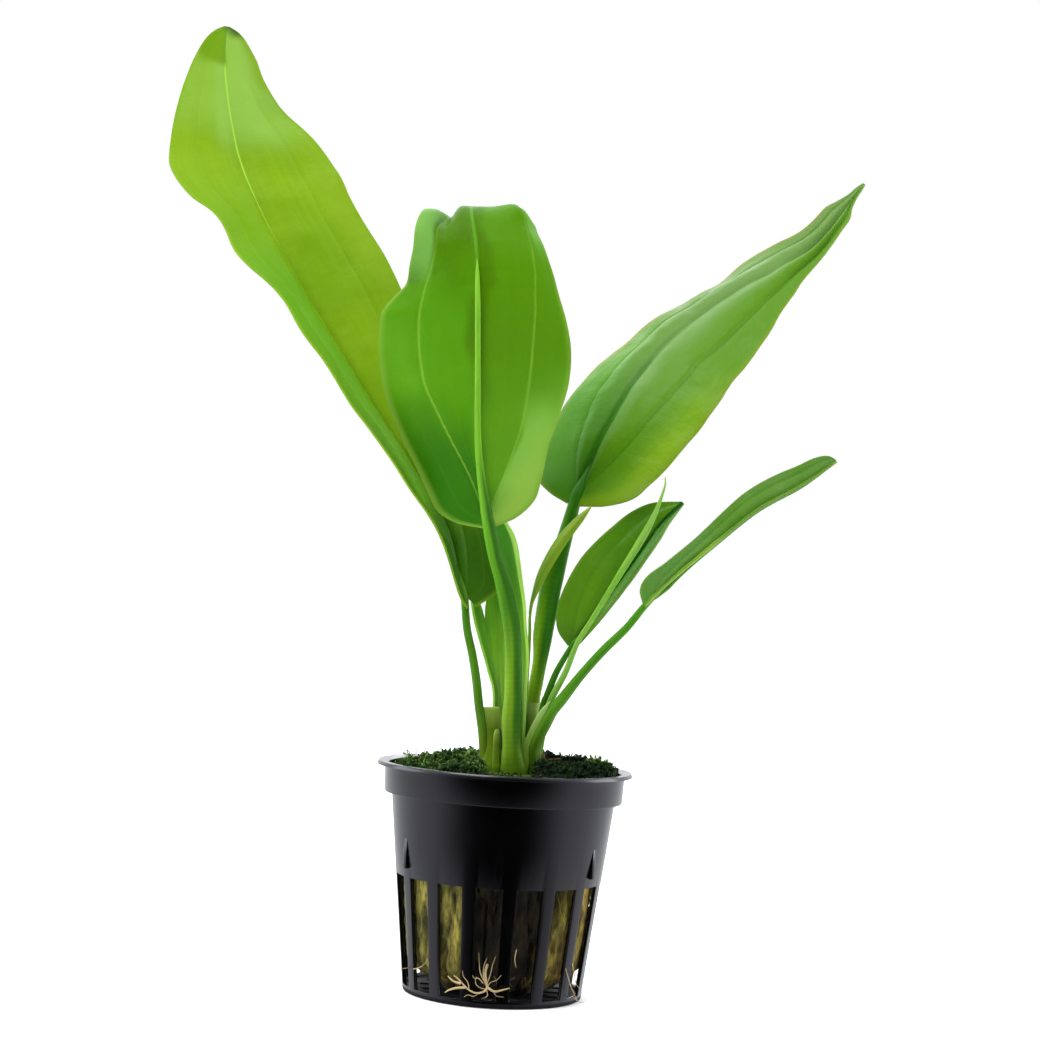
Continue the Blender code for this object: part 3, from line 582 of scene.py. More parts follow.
def leaf_tissue(name, main, shade, margin, vein, foot, zones=(), rib=None, vein_strength=0.3, foot_reach=0.1,
                specular=0.3, faint=0.35, streak_count=44.0):
    """Blade of a living leaf: mottled green cells, side veins, fine cross veins, a thin waxy skin, coloured
    zones and painted shade at its foot.
    """
    mat, tree, shader = new_material(name)
    place = node(tree, "TexCoord")["Object"]
    veins_uv = node(tree, "UVMap", uv_map="veins")["UV"]
    size_uv = node(tree, "UVMap", uv_map="size")["UV"]
    uv = node(tree, "SeparateXYZ", veins_uv)
    size = node(tree, "SeparateXYZ", size_uv)
    patches = node(tree, "TexNoise", place, Scale=55.0, Detail=2.0)["Fac"]
    dimples = node(tree, "TexNoise", place, Scale=230.0, Detail=2.0)["Fac"]
    mottle = node(tree, "MapRange SMOOTHSTEP", patches, 0.35, 0.68)[0]
    colour = node(tree, "Mix", mottle, i6=linear(main), i7=linear(shade))[2]
    # vein number: 0 on the rib, 1 on the main side vein, 2 at the margin
    off_rib = node(tree, "Math SUBTRACT", uv["X"], 0.5)[0]
    off_rib = node(tree, "Math ABSOLUTE", off_rib)[0]
    number = node(tree, "Math MULTIPLY", off_rib, 4.0)[0]
    # faint streaks along the veins and cross veins about 0.8 mm apart
    streak_at = node(tree, "Mapping", veins_uv, Scale=(streak_count, 3.0, 1.0))[0]
    streaks = node(tree, "TexNoise", streak_at, Scale=1.0, Detail=1.0)["Fac"]
    rung_at = node(tree, "Mapping", size_uv, Scale=(18.0, 120.0, 1.0))[0]
    rungs = node(tree, "TexNoise", rung_at, Scale=1.0, Detail=1.0, Distortion=1.0)["Fac"]
    weave = overlap(tree, (streaks, 0.3, 0.7, 0.97, 1.025), (rungs, 0.35, 0.65, 0.985, 1.012))
    colour = node(tree, "Mix MULTIPLY", 1.0, i6=colour, i7=weave)[2]
    # coloured zones, whose borders wander a little to both sides of where they are given; some are the
    # blade's own tones, others painted sheen and painted shade
    wander = node(tree, "TexNoise", place, Scale=90.0, Detail=1.0)["Fac"]
    zone_x = node(tree, "Math MULTIPLY_ADD", wander, 0.1, uv["X"])[0]
    zone_y = node(tree, "Math MULTIPLY_ADD", patches, 0.14, uv["Y"])[0]
    for x_from, x_to, y_from, y_to, hex_colour, amount in zones:
        share = overlap(tree, (zone_x, x_from + 0.05, x_to + 0.05),
                        (zone_y, y_from + 0.07, y_to + 0.07, 0.0, amount))
        colour = node(tree, "Mix", share, i6=colour, i7=linear(hex_colour))[2]
    edge = overlap(tree, (number, 1.8, 2.0), (patches, 0.3, 0.6, 0.3, 1.0))
    colour = node(tree, "Mix", edge, i6=colour, i7=linear(margin))[2]
    # thin lines on the side veins, the one numbered 1 the strongest
    between = node(tree, "Math MULTIPLY", number, 2.0)[0]
    to_vein = node(tree, "Math PINGPONG", between, 0.5)[0]
    to_main = node(tree, "Math SUBTRACT", number, 1.0)[0]
    to_main = node(tree, "Math ABSOLUTE", to_main)[0]
    weak = overlap(tree, (to_vein, 0.09, 0.0), (uv["Y"], 0.6, 0.1, 0.0, faint))
    strong = overlap(tree, (to_main, 0.05, 0.0), (uv["Y"], 1.0, 0.3, 0.2, 1.0))
    either = node(tree, "Math MAXIMUM", weak, strong)[0]
    lines = node(tree, "Math MULTIPLY", either, vein_strength)[0]
    colour = node(tree, "Mix", lines, i6=colour, i7=linear(vein))[2]
    if rib:
        rib_colour, rib_width, rib_from, rib_to, rib_end = rib
        to_rib = node(tree, "Math ABSOLUTE", size["X"])[0]
        on_rib = overlap(tree, (to_rib, rib_width / 100, rib_width / 250), (uv["Y"], rib_from, rib_to),
                         (uv["Y"], rib_end, rib_end - 0.02))
        colour = node(tree, "Mix", on_rib, i6=colour, i7=linear(rib_colour))[2]
    # painted shade: the blade darker near its foot, inside the outer side veins
    foot_shade_share = overlap(tree, (uv["Y"], foot_reach, 0.0, 0.0, 0.85), (number, 1.6, 0.1, 0.15, 1.0))
    colour = node(tree, "Mix", foot_shade_share, i6=colour, i7=linear(foot))[2]
    # relief: cross veins, deeper beside the main side vein, streaks that fade to the tip, dimples
    near_vein = overlap(tree, (to_main, 0.35, 0.0), (uv["Y"], 0.75, 0.25, 0.0, 1.2 * vein_strength))
    fading = node(tree, "MapRange SMOOTHSTEP", uv["Y"], 0.85, 0.55, 0.0, 0.35)[0]
    ridges = node(tree, "Math MULTIPLY", streaks, fading)[0]
    height = node(tree, "Math MULTIPLY_ADD", rungs, near_vein, ridges)[0]
    height = node(tree, "Math MULTIPLY_ADD", rungs, 0.35, height)[0]
    height = node(tree, "Math MULTIPLY_ADD", dimples, 2.0, height)[0]
    relief = node(tree, "Bump", Strength=0.3, Distance=0.0004, Height=height)[0]
    dull = node(tree, "MapRange SMOOTHSTEP", dimples, 0.3, 0.7, 0.36, 0.5)[0]
    node(tree, shader, Base_Color=colour, Normal=relief, Roughness=dull, IOR=1.43,
         Specular_IOR_Level=specular)
    # light that comes through the blade
    lit = node(tree, "Mix MULTIPLY", 0.55, i6=colour, i7=linear("#9CC81E"))[2]
    through = node(tree, "BsdfTranslucent", Color=lit, Normal=relief)[0]
    blend = node(tree, "MixShader", 0.3, shader.outputs[0], through)[0]
    node(tree, tree.nodes["Material Output"], Surface=blend)
    return mat


def stalk_tissue(name, *hex_colours, ring=0.0, dark=None, dark_from=-0.2, gloss=0.4):
    """Fleshy stalk: colours by share of its length, fine lines along it and rings across, painted shade in
    the ring valleys, and a band down one side.
    """
    mat, tree, shader = new_material(name)
    veins_uv = node(tree, "UVMap", uv_map="veins")["UV"]
    size_uv = node(tree, "UVMap", uv_map="size")["UV"]
    uv = node(tree, "SeparateXYZ", veins_uv)
    size = node(tree, "SeparateXYZ", size_uv)
    stops = [*zip((0.0, 0.09, 0.3, 0.52, 0.76), hex_colours[:-1]), (0.9, hex_colours[-1])]
    colour = node(tree, "ValToRGB", uv["Y"], stops=stops)["Color"]
    # a band down one side of the tube: painted shade on the stalks and the withered leaf, a pale stripe on
    # two young leaves
    if dark:
        dark_colour, turn_from, turn_to = dark
        share = overlap(tree, (uv["X"], turn_from, turn_to), (uv["Y"], 0.84, 0.8),
                        (uv["Y"], dark_from - 0.1, dark_from + 0.1))
        colour = node(tree, "Mix", share, i6=colour, i7=linear(dark_colour))[2]
    line_at = node(tree, "Mapping", size_uv, Scale=(160.0, 9.0, 1.0))[0]
    lines = node(tree, "TexNoise", line_at, Scale=1.0, Detail=2.0)["Fac"]
    # painted shade in the valleys between the rings, on the lower stalk
    shake = node(tree, "Math MULTIPLY_ADD", lines, 0.005, size["Y"])[0]
    wave = node(tree, "Math MULTIPLY", shake, math.tau * 100 / RING_GAP)[0]
    wave = node(tree, "Math COSINE", wave)[0]
    valley_shade = overlap(tree, (wave, -0.3, -1.0, 0.0, ring), (uv["Y"], 0.8, 0.5))
    level = node(tree, "Math SUBTRACT", 1.0, valley_shade)[0]
    line_tone = node(tree, "MapRange SMOOTHSTEP", lines, 0.3, 0.7, 0.86, 1.1)[0]
    fine = node(tree, "Math MULTIPLY", level, line_tone)[0]
    colour = node(tree, "Mix MULTIPLY", 1.0, i6=colour, i7=fine)[2]
    relief = node(tree, "Bump", Strength=0.4, Distance=0.0002, Height=fine)[0]
    node(tree, shader, Base_Color=colour, Normal=relief, Roughness=gloss, IOR=1.43, Specular_IOR_Level=0.16,
         Subsurface_Weight=0.15, Subsurface_Radius=(0.4, 0.9, 0.1), Subsurface_Scale=0.001)
    return mat


# Tall left leaf
# The oldest and brightest: it leans left with its upper side to the front, its left half folded up
# along the rib and turned away below, and the margin waved near the tip.

tall_blade = leaf_tissue(
    "tall_leaf_blade", "#84AA12", "#78A20E", "#82AA1C", "#A0C840", "#3F7A0A",
    # the last zone, dark green at the foot, is painted shade, as is the foot colour
    zones=((0.5, 0.35, 0.8, 0.5, "#5C9E0E", 0.8), (0.3, 0.42, 0.76, 0.88, "#94BE54", 0.75),
           (0.8, 0.6, 0.8, 0.88, "#90BA48", 0.6), (0.75, 0.9, 0.84, 0.78, "#8CAE24", 0.5),
           (0.54, 0.5, 0.94, 0.96, "#6E9A08", 0.85), (0.78, 0.95, 0.86, 0.9, "#7C9C10", 0.6),
           (0, 0.01, 0.985, 1, "#3A5A20", 0.9), (0, 0.01, 0.17, 0.08, "#366C06", 0.95)),
    rib=("#A8DC4A", 0.45, 0.55, 0.8, 0.945), vein_strength=0.2, specular=0.15)
tall_stalk = stalk_tissue(
    "tall_leaf_stalk", "#2E4E12", "#5E7A16", "#447010", "#40700C", "#366C0A", "#7CAA26",
    # painted shade down the stalk's shaded side
    dark=("#2E6A0A", 0.3, 0))
grow_leaf(
    "tall_left_leaf", "leaf_tall_left",
    ((-4.2, -1, 48), (-5.3, -1, 55.6), (-6.4, -0.8, 61.2), (-7.3, -0.5, 66.6), (-8.5, 0, 72),
     (-10, 0.5, 77.5), (-10.9, 1, 84)),
    ((0, 1.1, 1.2), (0.25, 1, 1), (0.5, 0.95, 0.95), (1, 0.85, 0.8)),
    ((-1, 0.45, -0.85, 0.1), (0, 0.45, -0.85, 0.3), (1, 0.3, -0.9, 0.2)), tall_stalk, tall_blade,
    blade=((-10.9, 1, 84), (-16.5, 3, 99.5), (-28.5, 6, 117.5), (-43.5, 10, 139), (-59.5, 14, 163),
           (-68, 18, 179.5), (-72.5, 20, 198), (-73, 21, 209.5)),
    outline=((0, 1.2, 2), (0.015, 3.6, 8), (0.05, 5, 10.2), (0.12, 8.5, 10.6), (0.18, 11.5, 12.6),
             (0.25, 11.5, 14.6), (0.32, 12.8, 16.3), (0.4, 12.8, 18.8), (0.47, 13.6, 19.8),
             (0.54, 11.4, 20.6), (0.6, 14, 20.6), (0.66, 12.4, 20.6), (0.69, 13.4, 20.8), (0.72, 16.8, 20.6),
             (0.77, 18, 19.4), (0.82, 15.2, 16.6), (0.87, 12.2, 11.6), (0.91, 9.6, 8.8), (0.95, 6.6, 7.2),
             (0.98, 4.2, 4.6), (0.993, 2.4, 2.6), (1, 0.6, 0.6)),
    folds=((0.02, 45, 5), (0.22, 45, 5), (0.35, 42, 5), (0.48, 40, 5), (0.58, 32, 5), (0.68, 22, 5),
           (0.76, 10, 5), (0.82, 5, 5), (1, 5, 5)),
    dents=((0.64, -1, 0.04, 0.5, -1.2), (0.76, -1, 0.06, 0.5, 1.5), (0.84, 1, 0.04, 0.5, -1.5),
           (0.5, 1, 0.08, 0.5, 1.2), (0.3, 1, 0.06, 0.5, -1), (0.62, 0.35, 0.02, 0.1, 0.3),
           (0.55, 0.6, 0.015, 0.08, -0.3), (0.7, 0.5, 0.02, 0.1, 0.3)),
    bow=0.7, rib=0.8, rib_reach=0.97, groove=0.1, seed=1.7)


# Front leaf
# It stands in the middle with its under side to the front: the rib is proud and pale up to where the
# blade bends over to the back, and two side veins crease it into a middle panel and two wings.

front_blade = leaf_tissue(
    "front_leaf_blade", "#4C7C02", "#437202", "#7EA838", "#86B838", "#1E5406",
    # zones, most of them painted light: pale painted sheen on both wings near the top and in the lower right
    # corner, painted shade in a strip right of the rib and low on the left, and the left half of the middle
    # panel painted lighter
    zones=((0.5, 0.56, 0.7, 0.45, "#529408", 0.8), (0.56, 0.5, 0.4, 0.25, "#66A61C", 0.6),
           (0.74, 0.8, 0.5, 0.3, "#549008", 0.7), (0.24, 0.18, 0.6, 0.7, "#82B860", 0.8),
           (0.74, 0.8, 0.56, 0.66, "#78B050", 0.8), (0.78, 0.86, 0.5, 0.42, "#5C9C14", 0.5),
           (0.5, 0.64, 0.32, 0.08, "#1E5804", 0.95), (0.72, 0.8, 0.32, 0.1, "#2E6C04", 0.7),
           (0.27, 0.22, 0.36, 0.2, "#80B644", 0.9), (0.24, 0.1, 0.24, 0.06, "#98BC48", 0.6),
           (0.44, 0.5, 0.34, 0.05, "#327404", 0.7), (0.47, 0.42, 0.18, 0.36, "#5A960C", 0.55)),
    rib=("#5C981E", 0.45, 0.56, 0.66, 0.82), vein_strength=0.55, specular=0.08, faint=0.08)
front_stalk = stalk_tissue(
    "front_leaf_stalk", "#34500E", "#668E18", "#6A9214", "#3E7406", "#528E0E", "#6AA024", ring=0.08,
    # painted shade down the stalk's shaded side
    dark=("#2A5E06", 0.78, 0.68), dark_from=0.1)
grow_leaf(
    "front_leaf", "leaf_front",
    ((1.75, -4.5, 48), (1.2, -4.8, 52.5), (0.83, -5, 58.4), (0.83, -5, 63.8), (0.28, -5.2, 72.2),
     (-0.2, -5.6, 77.1), (-1, -6.1, 81.2), (-2.1, -6.7, 85.3), (-3.5, -7.4, 89.4), (-4.9, -8.1, 93.4),
     (-7, -10, 101.5)),
    ((0, 2.8, 1.8), (0.05, 2.35, 1.6), (0.1, 2.05, 1.5), (0.19, 2.2, 1.5), (0.3, 1.95, 1.4),
     (0.44, 1.85, 1.4), (0.68, 1.8, 1.3), (0.77, 1.5, 1.2), (0.93, 1.45, 1.1), (1, 1.2, 1)),
    ((-1, 0.1, 1, 0), (0, 0.1, 1, 0.2), (0.55, 0.1, 1, 0.1), (0.73, 0, 0.5, -0.9), (1, 0, -0.7, -0.7)),
    front_stalk, front_blade,
    blade=((-7, -10, 101.5), (-9.5, -13, 115.5), (-10.5, -15.5, 130), (-11.5, -17.5, 146.5),
           (-12.5, -16.5, 157), (-14, -12.5, 164.5), (-14.5, -6, 167.6), (-15, 0.5, 165), (-15.5, 5, 158.5)),
    outline=((0, 1, 1), (0.012, 6, 7), (0.04, 10.6, 11.8), (0.07, 12.6, 13.6), (0.12, 14.8, 16.3),
             (0.18, 16.6, 19.8), (0.25, 18.3, 23), (0.32, 19.6, 24.3), (0.4, 19.8, 24), (0.47, 18.8, 23),
             (0.53, 17.4, 21.4), (0.58, 16.4, 19.2), (0.63, 15.4, 16.2), (0.68, 14.8, 13.5),
             (0.73, 14.4, 12.2), (0.78, 13.8, 10.6), (0.84, 11.8, 8.8), (0.91, 7, 4.8), (0.96, 2.6, 2.5),
             (1, 0.4, 0.4)),
    folds=((0, 15, 15), (0.12, 17, 18), (0.22, 16, 18), (0.32, 14, 18), (0.43, 12, 16), (0.54, 12, 16),
           (0.63, 10, 14), (0.71, 8, 10), (1, 8, 8)),
    side_vein=((0, 0.04, 0.03), (0.03, 0.14, 0.08), (0.1, 0.36, 0.18), (0.18, 0.5, 0.31), (0.25, 0.54, 0.42),
               (0.32, 0.55, 0.52), (0.43, 0.6, 0.58), (0.53, 0.7, 0.6), (0.62, 0.78, 0.62),
               (0.72, 0.8, 0.62), (0.8, 0.76, 0.56), (1, 0.6, 0.5)),
    wings=((0, 5, 5), (0.1, 28, 10), (0.22, 28, 14), (0.35, 14, 12), (0.45, 14, 6), (0.52, 22, 14),
           (0.6, 32, 26), (0.68, 30, 14), (0.78, 30, 0), (1, 10, 0)),
    dents=((0.5, 1, 0.035, 0.35, -1.6), (0.6, 1, 0.04, 0.35, 1.6), (0.1, -1, 0.06, 0.4, -1.2),
           (0.79, 0.5, 0.08, 0.17, 2.6), (0.77, 0.9, 0.06, 0.22, -0.6), (0.79, -0.75, 0.08, 0.3, -2.6),
           (0.6, 0.5, 0.012, 0.1, 0.35), (0.56, 0.1, 0.01, 0.12, 0.3), (0.57, -0.25, 0.012, 0.12, -0.3)),
    bow=-0.5, rib=1.2, rib_reach=0.62, rib_end=16, rib_sink=0.5, groove=-0.3, pucker=0.16, rings=0.008,
    seed=5.2)


# Broad right leaf
# It leans right and back with its upper side to the front. The veins are pressed into it and dark towards
# the foot, where painted shade darkens the blade too; its upper half droops to the back, and its stalk is
# thick, ringed and half in painted shade.

right_blade = leaf_tissue(
    "right_leaf_blade", "#588E06", "#4E8406", "#72920F", "#2E7010", "#1E5208",
    # zones: grey-green painted sheen over the upper half and a pale painted highlight in a strip just right
    # of the rib
    zones=((0, 0.01, 0.25, 0.6, "#668C3E", 0.8), (0.5, 0.53, 0.12, 0.3, "#80A860", 0.6),
           (0.54, 0.62, 0.12, 0.3, "#588E08", 0.8), (0.56, 0.66, 0.95, 0.78, "#588A0C", 0.5),
           (0.66, 0.6, 0, 0.3, "#6E9250", 0.35), (0.4, 0.3, 0.5, 0.3, "#5A9A18", 0.6),
           (0.8, 0.94, 0.5, 0.15, "#7CA208", 0.8), (0.54, 0.48, 0.4, 0.2, "#3E8008", 0.5),
           (0.06, 0.02, 0.3, 0.34, "#A08A50", 0.5)),
    rib=("#347408", 1.4, 0.55, 0.05, 1.1), vein_strength=0.4, specular=0.16, foot_reach=0.16, faint=0.25)
right_stalk = stalk_tissue(
    "right_leaf_stalk", "#3A5A14", "#62801A", "#78A010", "#568C0A", "#367408", "#266408", ring=0.08,
    # painted shade down the stalk's shaded side
    dark=("#286008", 0.3, 0.18), dark_from=0.27)
grow_leaf(
    "right_leaf", "leaf_right",
    ((5, 3.2, 48), (5.1, 3.2, 62.3), (5.6, 3.3, 66.6), (6.25, 3.5, 72.2), (6.5, 3.8, 77.5), (7.1, 4.2, 83.1),
     (7.8, 4.4, 88.5), (11, 5.5, 103), (12, 6, 108)),
    ((0, 1.9, 1.4), (0.2, 1.75, 1.3), (0.3, 1.6, 1.3), (0.39, 1.65, 1.3), (0.48, 2.25, 1.4),
     (0.66, 2.45, 1.4), (0.8, 1.9, 1.3), (1, 1.3, 1.1)),
    ((-1, -0.3, -0.9, 0.1), (0, -0.35, -0.75, 0.5), (1, -0.3, -0.85, 0.35)), right_stalk, right_blade,
    blade=((12, 6, 108), (17, 9, 121.5), (23, 12, 133.5), (31, 15, 144), (44, 19, 155.5), (54, 22, 162),
           (64, 25, 169.5), (74, 28, 184)),
    outline=((0, 1.5, 1.5), (0.012, 6.5, 7.5), (0.04, 12, 13), (0.08, 14.2, 15.5), (0.12, 15.6, 17.6),
             (0.18, 17.4, 19.5), (0.25, 17.8, 21), (0.32, 17.2, 21.2), (0.4, 15.4, 20), (0.47, 12.8, 18.5),
             (0.54, 11.2, 16.2), (0.6, 11.2, 13.8), (0.66, 12, 10.6), (0.72, 11.6, 7.2), (0.77, 9.6, 5),
             (0.82, 7, 3.4), (0.87, 5.4, 2.6), (0.91, 4.6, 2.4), (0.935, 3, 1.2), (0.96, 1.6, 0.6),
             (0.985, 0.9, 0.5), (1, 0.3, 0.3)),
    folds=((0.02, 0, 5), (0.06, -5, 5), (0.12, -10, 5), (0.2, -15, 5), (0.3, -20, 5), (0.4, -25, 5),
           (0.7, -25, 5), (0.8, -15, 5), (0.88, -5, 5), (1, 5, 5)),
    wings=((0, 0, 0), (0.1, -8, -12), (0.4, -8, -14), (0.7, -6, -6), (1, 0, 0)),
    dents=((0.45, -1, 0.06, 0.5, 1.2), (0.62, -1, 0.05, 0.5, -1), (0.3, 1, 0.08, 0.5, 0.5),
           (0.5, 1, 0.06, 0.5, -0.3), (0.42, -0.3, 0.012, 0.12, 0.4), (0.5, -0.25, 0.012, 0.14, -0.4),
           (0.35, 0.7, 0.015, 0.08, 0.4), (0.58, -0.5, 0.02, 0.1, 0.3)),
    bow=1, rib=0.9, rib_reach=0.45, groove=0.35, pucker=0.22, rings=0.006, rib_sink=1.1, seed=9.1)


# Short right leaf and the young rolled leaf in front of it
# A short leaf folded along its rib, and a spear that is still rolled up, pale and soft.

short_blade = leaf_tissue(
    "short_leaf_blade", "#588C08", "#4C8406", "#6E9A2C", "#3C7C10", "#2C6A08",
    zones=((0.5, 0.6, 0.2, 0.6, "#2E7E10", 0.8), (0.6, 0.8, 0.1, 0.3, "#7CA85A", 0.7)),
    rib=("#245C08", 0.7, 0, 0.05, 1.1), vein_strength=0.12, streak_count=20)
dark_stalk = stalk_tissue(
    "thin_dark_stalk", "#2E4E12", "#4E7410", "#3A6A0C", "#326808", "#347408", "#3A7A0A",
    # painted shade down the stalk's shaded side
    dark=("#1E5206", 0.3, 0.02))
grow_leaf(
    "short_right_leaf", "leaf_short_right",
    ((5.6, 0.4, 48), (7.4, 0.5, 61.4), (8.1, 0.5, 64), (9.9, 0.7, 69.4), (13, 1, 75.5)),
    ((0, 1, 0.9), (1, 0.6, 0.6)), ((-1, -0.2, -0.95, 0.1), (0, -0.2, -0.9, 0.2), (1, -0.2, -0.9, 0.2)),
    dark_stalk, short_blade,
    blade=((13, 1, 75.5), (17.5, 1, 82), (25.5, 1.5, 94.5), (30.5, 2, 102.5), (35, 2, 107.5)),
    outline=((0, 0.6, 0.6), (0.02, 3.6, 1.4), (0.06, 5.8, 2), (0.12, 7.5, 2.4), (0.2, 8.7, 2.8),
             (0.3, 9.5, 3.2), (0.42, 9.8, 3.6), (0.54, 9.3, 3.6), (0.66, 8.3, 3.1), (0.77, 7, 2.4),
             (0.87, 4.8, 1.4), (0.94, 2.4, 0.8), (1, 0.3, 0.3)),
    folds=((0, 15, 45), (0.6, 15, 45), (0.74, 13, 35), (0.86, 11, 25), (1, 10, 10)),
    sweep=((0, 1), (0.1, 0.8), (0.25, 0)), bow=0.4, rib=0.6, rib_reach=0.8, pucker=0.1, seed=3.3, columns=36,
    rows=80)
spear_tissue = stalk_tissue("young_spear", "#5A8A20", "#6C9E30", "#74A440", "#689A30", "#749E44", "#749E44")
grow_leaf(
    "spear_leaf", "leaf_spear",
    ((6.6, 0.6, 48), (7.6, 0.2, 56), (8.8, -0.5, 62.7), (11.7, -1.6, 69.4), (14, -2.8, 76.3),
     (16.5, -3.2, 80.8), (22.5, -3.4, 92), (28, -3, 102.5), (30.5, -2.5, 110), (30.6, -2.3, 112.5)),
    ((0, 0.9, 0.8), (0.3, 0.7, 0.6), (0.5, 0.55, 0.5), (0.8, 0.8, 0.5), (0.92, 0.4, 0.3), (1, 0.12, 0.1)),
    ((-1, -0.2, -0.95, 0.1), (0, -0.2, -0.9, 0.2)), spear_tissue)


# Narrow leaf far to the right
# A slim blade on a curved stalk, seen nearly on its edge, with a small curled lobe at its foot.

narrow_blade = leaf_tissue(
    "narrow_leaf_blade", "#50801A", "#487818", "#6C962C", "#4E8A20", "#3E7A18",
    zones=((0.5, 0.4, 0.45, 0.3, "#58863A", 0.7), (0.5, 0.6, 0.5, 0.3, "#8CAE1C", 0.7)), vein_strength=0.12,
    specular=0.2, streak_count=12)
narrow_stalk = stalk_tissue(
    "narrow_leaf_stalk", "#2E4E12", "#466A0C", "#44780C", "#3A720A", "#38760A", "#468022")
grow_leaf(
    "far_right_leaf", "leaf_far_right",
    ((6.2, -2.4, 48), (6, -2.8, 52.8), (6.8, -3.2, 55.6), (8.1, -3.5, 58.4), (9.4, -3.8, 61.2),
     (11.3, -4.1, 63.8), (15.2, -4.7, 69.4), (19.4, -5.5, 74.7), (24, -6.4, 79.8), (27, -7.3, 84),
     (29, -8, 86.5)),
    ((0, 1.9, 1.5), (0.1, 2.4, 1.4), (0.25, 2.3, 1.3), (0.36, 1.7, 1.2), (0.5, 1.3, 1), (0.75, 1.2, 0.9),
     (1, 0.65, 0.65)),
    ((-1, -0.9, 0.2, 0.3), (-0.4, -0.8, 0, 0.5), (0, -0.4, -0.2, 0.85), (1, -0.4, -0.2, 0.85)),
    narrow_stalk, narrow_blade,
    blade=((29, -8, 86.5), (34.5, -10, 92.5), (42, -12, 99.5), (50, -14, 106.5), (58.5, -16, 112),
           (65, -17.5, 117.3)),
    outline=((0, 0.7, 0.7), (0.02, 3.6, 3), (0.07, 5, 4.2), (0.15, 4.2, 4.6), (0.3, 4.1, 5.1),
             (0.45, 4.8, 5.3), (0.6, 5.5, 5.4), (0.75, 5.5, 5.1), (0.85, 4.7, 4.6), (0.92, 4, 3.9),
             (0.965, 3, 3), (0.99, 1.8, 1.8), (1, 0.5, 0.5)),
    folds=((0, 45, 15), (1, 45, 15)), sweep=((0, 2.5), (0.06, 2), (0.16, 0)), bow=0.3, rib=0.5,
    rib_reach=0.7, pucker=0.08, seed=7.4, columns=36, rows=90)


# Young leaves, the withered leaf and the old sheaths between the stalks
# Pale half opened leaves, one leaf dried to straw at its tip, and stubs left by cut leaves.

pale_tissue = stalk_tissue(
    "young_leaf_tissue", "#2E4E12", "#7C9C28", "#86B040", "#6EA424", "#4A8C14", "#4A8C14")
folded_tissue = stalk_tissue(
    "folded_leaf_tissue", "#2E4E12", "#7C9C28", "#74A82C", "#4E9018", "#3E8812", "#3E8812",
    dark=("#A4D45C", 0.17, 0.13))
edged_tissue = stalk_tissue(
    "pale_edged_tissue", "#2E4E12", "#7C9C28", "#4E7E14", "#54901A", "#4A8C14", "#4A8C14",
    dark=("#8CBC4C", 0.33, 0.38))
grow_leaf(
    "young_right_leaf", "leaf_young_right",
    ((2.8, -0.8, 48), (2.7, -0.4, 65), (2.6, 0.1, 72.2), (1.6, 0.5, 79), (1.05, 0.6, 83.1),
     (-0.4, 0.8, 88.5), (-1.2, 0.8, 91.5), (-2.6, 0.6, 96.4), (-3.7, 0.4, 99.2), (-5.6, 0, 103.5)),
    ((0, 1.3, 0.8), (0.3, 1.1, 0.6), (0.42, 1.15, 0.5), (0.54, 1.35, 0.45), (0.61, 1.45, 0.45),
     (0.7, 1.85, 0.4), (0.85, 2.5, 0.4), (0.92, 2, 0.3), (1, 0.4, 0.2)),
    ((-1, -0.3, -0.95, 0.1), (0, -0.5, -0.8, 0.2)), folded_tissue)
grow_leaf(
    "young_left_leaf", "leaf_young_left",
    ((-3, 2.6, 48), (-2.85, 3, 62.7), (-4.3, 3.8, 68.8), (-6.2, 4.6, 74.7), (-7.8, 5.2, 80.3),
     (-8.7, 5.6, 83.5), (-9.6, 6.2, 88), (-10, 6.8, 93)),
    ((0, 1, 0.8), (0.31, 0.75, 0.6), (0.44, 0.95, 0.5), (0.58, 1.1, 0.4), (0.71, 1.4, 0.35),
     (0.79, 1.1, 0.3), (0.89, 0.8, 0.3), (1, 0.3, 0.2)),
    ((-1, 0.4, -0.9, 0.1), (0, 0.4, -0.9, 0.2)), edged_tissue)
grow_leaf(
    "young_back_leaf", "leaf_young_back",
    ((0.2, 3.8, 48), (-1, 4.2, 58), (-1.85, 4.5, 62.7), (-2.4, 5, 68.8), (-3.2, 5.6, 74.7), (-3.7, 6, 80.3),
     (-4.2, 6.3, 84.5), (-4.6, 6.6, 89.5)),
    ((0, 1.2, 0.8), (0.24, 1.2, 0.5), (0.36, 1.05, 0.4), (0.51, 1.2, 0.35), (0.65, 2, 0.35),
     (0.79, 2.7, 0.35), (0.9, 1.8, 0.3), (1, 0.25, 0.2)),
    ((-1, 0.1, -1, 0), (0, 0.1, -1, 0.1)), pale_tissue)
straw_tissue = stalk_tissue(
    "withered_leaf_tissue", "#7C9C28", "#74A02E", "#74A436", "#6A982C", "#8AA242", "#C8B468",
    # painted shade down the leaf's shaded side
    dark=("#6A8A1C", 0.3, 0.2), gloss=0.5)
